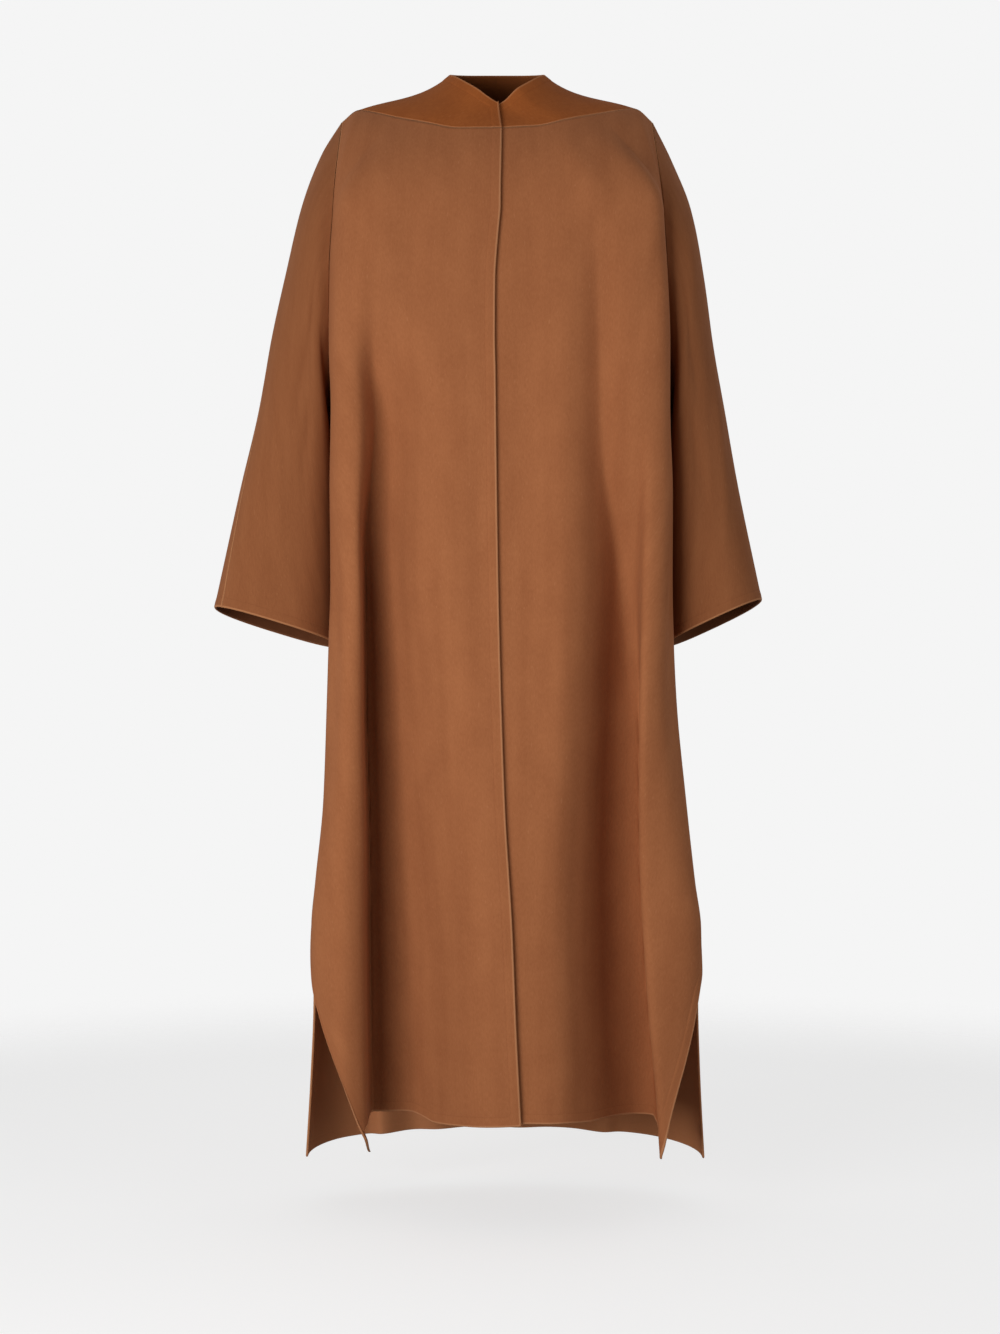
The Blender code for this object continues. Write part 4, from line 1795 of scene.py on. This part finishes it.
@dataclass
class Back(BodyPanel):
    """The back, cut in one piece.

    Attributes:
        eased_columns: How many columns on each side of the centre line are blended.
    """

    eased_columns: int = 8

    def build(self) -> dict[Side, Array]:
        """Builds the back and returns both armhole edges."""
        halves = {side: self.quarter(side, Face.BACK).points for side in Side}
        right, left = halves[Side.RIGHT], halves[Side.LEFT]
        middle = (right[:, :1] + left[:, :1]) / 2
        points = np.concatenate([right[:, :0:-1], middle, left[:, 1:]], axis=1)
        points = self.eased_centre(points, right.shape[1] - 1)
        grid = ClothGrid(points, False, (Edge.BOTTOM,), (Edge.TOP, Edge.START, Edge.END), centred=True)
        grid.draw_back(Edge.TOP, Edge.START, Edge.END)
        grid.slit = self.in_slit(grid.points)
        self.make("back", grid)
        return {side: self.armhole_edge(half) for side, half in halves.items()}

    def eased_centre(self, points: Array, middle: int) -> Array:
        """The points with the two halves blended over the centre line.

        Args:
            points: The points of both halves.
            middle: The column on the centre line.

        Returns:
            The points, blended once for each column of reach.
        """
        eased = points.copy()
        for reach in range(self.eased_columns, 0, -1):
            for column in range(middle - reach, middle + reach + 1):
                eased[:, column] = (points[:, column - 1] + 2 * points[:, column] + points[:, column + 1]) / 4
            points = eased.copy()
        return eased


@dataclass
class Yoke(Piece):
    """The round yoke with the neck's short stand, in one piece from lap to lap.

    Attributes:
        form: The coat's form.
        quarter_width: The width that a quarter's columns divide, in millimetres like every measure below.
        depth: The length that the rows divide.
        step: The usual distance between rows and between columns.
        fine_step: That distance at a finished edge.
        dip_peak: What brings the peak of the dip's curve to 1.
    """

    form: ShoulderForm = field(default_factory=ShoulderForm)
    finish: NapFinish = YOKE_CASHMERE
    slot: str = "yoke_cashmere"
    quarter_width: float = 240.0
    depth: float = 90.0
    step: float = 2.4
    fine_step: float = 1.0
    dip_peak: float = 6.75

    def spokes(self, side: Side, face: Face) -> tuple[Array, Array]:
        """The ends of one quarter's columns.

        Args:
            side: The wearer's side.
            face: The front or the back.

        Returns:
            Points of the neck edge, and the points of the yoke seam that match them.
        """
        first = self.form.start_share(side, face)
        places = graded(self.quarter_width, self.step, self.fine_step, face is Face.FRONT, False)
        shares = first + places * (self.form.shoulder_share - first)
        return self.form.neck_point(side, face, shares), self.form.top_point(side, face, shares)

    def build(self) -> bpy.types.Object:
        """Builds the yoke."""
        parts = [
            self.spokes(Side.RIGHT, Face.FRONT),
            [points[::-1][1:] for points in self.spokes(Side.RIGHT, Face.BACK)],
            [points[1:] for points in self.spokes(Side.LEFT, Face.BACK)],
            [points[::-1][1:] for points in self.spokes(Side.LEFT, Face.FRONT)],
        ]
        neck, seam = (np.concatenate(points) for points in zip(*parts))
        length = np.linalg.norm(seam - neck, axis=-1, keepdims=True)
        rows = []
        for t in graded(self.depth, self.step, self.fine_step, True, False):
            dip = self.form.yoke_dip * length * self.dip_peak * t * (1 - t) ** 2
            rows.append(neck + (seam - neck) * t - dip * np.array((0.0, 0.0, 1.0)))
        grid = ClothGrid(np.array(rows), False, (Edge.TOP, Edge.START, Edge.END), (Edge.BOTTOM,), radial=True)
        grid.draw_back(Edge.BOTTOM)
        return self.make("yoke", grid)


SLEEVE_CREASES = {
    (Side.RIGHT, Face.FRONT): (
        Crease(215, 60, 120, 250, 3.5, 18.0),
        Crease(200, 180, 130, 330, 2.6, 15.0),
        Crease(60, 300, 90, 470, -2.2, 18.0),
    ),
    (Side.LEFT, Face.FRONT): (
        Crease(205, 70, 120, 240, 3.2, 18.0),
        Crease(190, 190, 120, 350, 2.8, 16.0),
        Crease(70, 280, 84, 450, -2.4, 18.0),
    ),
    (Side.RIGHT, Face.BACK): (
        Crease(210, 60, 110, 270, 4.0, 20.0),
        Crease(170, 200, 90, 380, 3.2, 18.0),
    ),
    (Side.LEFT, Face.BACK): (
        Crease(215, 70, 120, 260, 4.0, 20.0),
        Crease(180, 210, 100, 360, 3.2, 18.0),
    ),
}


@dataclass
class SleeveHalf(Piece):
    """The front or back half of a sleeve, from the armhole to the cuff.

    Attributes:
        side: The wearer's side.
        face: The front or the back.
        seam_turns: How far each overarm seam is turned to the front at the cuff, as a share of the half.
        turn_power: How late down the sleeve it turns.
        power: How square the sleeve's section is.
        clearance: The gap between the armhole's edge and the sleeve, in millimetres like every measure below.
        stand_off: How much further the sleeve stands off at the underarm.
        armhole_ease: How much further it does halfway down the armhole.
        fit_power: How fast the armhole's own shape gives way to the sleeve's.
        cloth_length: The length that the rows divide.
        row_step: The usual distance between rows.
        fine_row: That distance at the cuff.
        row_ease: How much closer the rows are at the armhole.
    """

    finish: NapFinish = SLEEVE_CASHMERE_PAINTED_SHADE
    side: Side = Side.RIGHT
    face: Face = Face.FRONT
    seam_turns: dict[Side, float] = field(default_factory=lambda: {Side.RIGHT: 0.2, Side.LEFT: 0.0})
    turn_power: float = 1.4
    power: float = 2.5
    clearance: float = 0.3
    stand_off: float = 5.0
    armhole_ease: float = 1.0
    fit_power: int = 4
    cloth_length: float = 520.0
    row_step: float = 6.0
    fine_row: float = 1.6
    row_ease: float = 1.1

    def turned(self, around: Array, along: float) -> Array:
        """The places round the sleeve with the overarm seam turned towards the front."""
        turn = self.seam_turns[self.side] * along**self.turn_power
        return around - self.face.value * turn * (1 - around)

    def section(self, places: Array, along: float) -> Array:
        """Points round the sleeve.

        Args:
            places: Where they lie, 0 on the overarm line and 1 on the underarm line.
            along: The share of the way from the armhole to the cuff.

        Returns:
            The points, in millimetres.
        """
        around = self.turned(places, along)
        table, sign = SLEEVES[self.side], self.side.value
        over_x, over_y, over_z = (table.at(name, along) for name in ("over_x", "over_y", "over_z"))
        over = np.array([sign * over_x, over_y, over_z])
        under = np.array([sign * table.at("under_x", along), 0.0, table.at("under_z", along)])
        depths = {face: float(table.at(face.name.lower(), along)) for face in Face}
        facing_way = np.where(around < 0, -self.face.value, self.face.value)
        deep = np.where(facing_way == Face.FRONT.value, depths[Face.FRONT], depths[Face.BACK])
        cosine, sine = np.cos(np.pi * around), np.sin(np.pi * around)
        lengthwise = np.sign(cosine) * np.abs(cosine) ** (2 / self.power)
        sideways = facing_way * np.abs(sine) ** (2 / self.power)
        outwards = np.stack([0 * deep, deep, np.full(deep.shape, -table.at("slant", along))], axis=-1)
        return (over + under) / 2 + np.outer(lengthwise, (over - under) / 2) + sideways[:, None] * outwards

    def build(self, armhole: Array) -> bpy.types.Object:
        """Builds the half.

        Args:
            armhole: The body's edge that it is sewn to.

        Returns:
            The object.
        """
        steps = np.linalg.norm(np.diff(armhole, axis=0), axis=1)
        travelled = np.concatenate([[0.0], np.cumsum(steps)])
        around = travelled / travelled[-1]
        away = self.clearance + self.stand_off * around + self.armhole_ease * np.sin(np.pi * around)
        start = armhole + np.outer(away, np.array((self.side.value, 0.0, 0.0)))
        misfit = start - self.section(around, 0.0)
        alongs = graded(self.cloth_length, self.row_step, self.fine_row, False, True) ** self.row_ease
        rows = [self.section(around, along) + misfit * (1 - along) ** self.fit_power for along in alongs]
        sewn = (Edge.TOP, Edge.START, Edge.END)
        grid = ClothGrid(np.array(rows), self.side.value == self.face.value, (Edge.BOTTOM,), sewn)
        across, down = grid.travelled()
        grid.press_in(sum(crease.dip(across, down) for crease in SLEEVE_CREASES[self.side, self.face]), sewn)
        grid.draw_back(Edge.START, Edge.END)
        return self.make(f"sleeve_{self.side.name}_{self.face.name}".lower(), grid)

    def cut_size(self, points: Array, area: float) -> tuple[float, float]:
        """The size of the half's cut, which slopes from a long overarm to a short underarm.

        Args:
            points: Its inner face.
            area: Its area in square metres.

        Returns:
            Width and length in metres.
        """
        lengths = np.linalg.norm(np.diff(points[:, [0, -1]], axis=0), axis=-1).sum(axis=0) * MILLIMETRE
        cuff = float(np.linalg.norm(np.diff(points[-1], axis=0), axis=-1).sum()) * MILLIMETRE
        width = max(2 * area / float(lengths.sum()), cuff) + 2 * self.allowance
        return width, float(lengths.max()) + self.allowance


@dataclass
class PressStud:
    """The hidden press stud in the lap."""

    node: str = "press_stud"

    def dress(self, nodes: dict[str, bpy.types.Object]) -> None:
        """Gives the CAD stud its plating.

        Args:
            nodes: The frame's objects by their nodes' names.
        """
        obj = nodes[self.node]
        obj.data.materials.clear()
        obj.data.materials.append(StudFinish().material())
        LOG.info("%s keeps its CAD solid", self.node)


# -------------------------------------------------------------------------------------------------
# Studio
# -------------------------------------------------------------------------------------------------


@dataclass(frozen=True)
class Lamp:
    """A soft square lamp.

    Attributes:
        name: Its name.
        place: Where it stands, in metres.
        aim: What it faces.
        size: The length of its side, in metres.
        power: Its power in watts.
        spread: Its beam's spread in degrees.
    """

    name: str
    place: Triple
    aim: Triple
    size: float
    power: float
    spread: float

    def build(self) -> None:
        """Adds the lamp."""
        data = bpy.data.lights.new(self.name, "AREA")
        data.shape = "SQUARE"
        data.size = self.size
        data.energy = self.power
        data.spread = math.radians(self.spread)
        add_aimed(self.name, data, self.place, self.aim)


@dataclass(frozen=True)
class PaleFloor:
    """A pale floor that fades into the backdrop with distance.

    Attributes:
        height: Its height, in metres like every length here.
        size: The length of its side.
        tones: The colours that its clouds lie between.
        cloud: The clouds' scale, detail and roughness.
        fade: The distances between which it fades.
        glow: How brightly the camera sees it shine.
        roughness: How rough it is.
        gloss: The level of its mirror reflection.
    """

    height: float = -1.48
    size: float = 40.0
    tones: tuple[Triple, Triple] = ((0.39, 0.39, 0.39), (0.41, 0.41, 0.41))
    cloud: Triple = (0.8, 2.0, 0.5)
    fade: tuple[float, float] = (1.25, 2.1)
    glow: float = 0.63
    roughness: float = 0.9
    gloss: float = 0.1

    def material(self) -> bpy.types.Material:
        """The floor's finish."""
        made, board, shader = new_material("pale_floor")
        place = board.add("ShaderNodeTexCoord").outputs["Object"]
        reach = board.add("ShaderNodeVectorMath", operation="LENGTH")
        board.feed(reach, 0, place)
        seen = board.add("ShaderNodeLightPath").outputs["Is Camera Ray"]
        look = {
            "Base Color": board.mix(board.noise(place, *self.cloud), *self.tones),
            "Alpha": board.remap(reach.outputs["Value"], *self.fade, 1.0, 0.0),
            "Roughness": self.roughness,
            "Specular IOR Level": self.gloss,
            "Emission Color": WHITE,
            "Emission Strength": board.remap(seen, 0.0, 1.0, 0.0, self.glow),
        }
        board.feed_all(shader, look)
        return made

    def build(self) -> None:
        """Adds the floor."""
        half = self.size / 2
        mesh = bpy.data.meshes.new("floor")
        corners = [(-half, -half, 0), (half, -half, 0), (half, half, 0), (-half, half, 0)]
        mesh.from_pydata(corners, [], [(0, 1, 2, 3)])
        mesh.materials.append(self.material())
        floor = bpy.data.objects.new("floor", mesh)
        floor.location.z = self.height
        bpy.context.scene.collection.objects.link(floor)


@dataclass(frozen=True)
class Studio:
    """A plain pale studio: floor, soft lights and the camera at the photograph's angle.

    Attributes:
        floor: The floor.
        lamps: A broad key from the left of the picture, and a weaker fill from its right.
        ambient: The surround's light from the front and from the back.
        ambient_turn: Where the one turns into the other, as Y of the direction.
        backdrop: How brightly the camera sees the surround.
        camera_place: Where the camera stands, in metres.
        camera_aim: What it faces, at the middle of the photograph's frame.
        lens: Its focal length, in millimetres.
        sensor: Its sensor's width, in millimetres.
    """

    floor: PaleFloor = PaleFloor()
    lamps: tuple[Lamp, ...] = (
        Lamp("key", (-1.25, -2.2, -0.55), (0.02, 0.0, -0.62), 1.5, 16.4, 100.0),
        Lamp("fill", (2.4, -2.0, -0.3), (0.0, 0.0, -0.65), 1.8, 17.0, 180.0),
    )
    ambient: tuple[float, float] = (0.12, 0.55)
    ambient_turn: tuple[float, float] = (-0.6, 0.5)
    backdrop: float = 0.913
    camera_place: Triple = (0.004, -4.70, -0.50)
    camera_aim: Triple = (0.004, -0.10, -0.7314)
    lens: float = 92.62
    sensor: float = 36.0

    def build(self) -> None:
        """Builds the floor, the lights, the backdrop's light and the camera."""
        self.floor.build()
        for lamp in self.lamps:
            lamp.build()
        self.world()
        self.camera()

    def world(self) -> None:
        """An even pale surround, which the camera sees brighter than it lights."""
        world = bpy.data.worlds.new("studio")
        bpy.context.scene.world = world
        world.use_nodes = True
        board = NodeBoard(world.node_tree)
        way = board.add("ShaderNodeSeparateXYZ")
        board.feed(way, 0, board.add("ShaderNodeTexCoord").outputs["Generated"])
        unseen = board.remap(way.outputs["Y"], *self.ambient_turn, *self.ambient)
        seen = board.add("ShaderNodeLightPath").outputs["Is Camera Ray"]
        strength = board.remap(seen, 0.0, 1.0, unseen, self.backdrop)
        board.feed_all(world.node_tree.nodes["Background"], {"Strength": strength, "Color": WHITE})
        bpy.context.scene.view_settings.view_transform = "Standard"

    def camera(self) -> None:
        """The camera, aimed at the middle of the photograph's frame."""
        data = bpy.data.cameras.new("camera")
        data.lens = self.lens
        data.sensor_width = self.sensor
        bpy.context.scene.camera = add_aimed("camera", data, self.camera_place, self.camera_aim)


def add_aimed(name: str, data: bpy.types.ID, place: Triple, aim: Triple) -> bpy.types.Object:
    """Adds a lamp or a camera that faces its aim, upright.

    Args:
        name: The object's name.
        data: The lamp or the camera.
        place: Where it stands.
        aim: What its -Z faces.

    Returns:
        The linked object.
    """
    x, y, z = (end - start for end, start in zip(aim, place))
    obj = bpy.data.objects.new(name, data)
    obj.location = place
    obj.rotation_euler = (math.pi / 2 + math.atan2(z, math.hypot(x, y)), 0.0, math.atan2(-x, y))
    bpy.context.scene.collection.objects.link(obj)
    return obj


def main() -> None:
    """Builds the coat's pieces in order, then the studio."""
    logging.basicConfig(level=logging.INFO, format="%(name)s %(message)s")
    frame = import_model()
    edges: dict[tuple[Side, Face], Array] = {}
    for side in Side:
        edges[side, Face.FRONT] = Front(side=side).build()
    for side, edge in Back().build().items():
        edges[side, Face.BACK] = edge
    Yoke().build()
    for (side, face), edge in edges.items():
        SleeveHalf(side=side, face=face).build(edge)
    PressStud().dress(frame["nodes"])
    Studio().build()


if __name__ == "__main__":
    main()
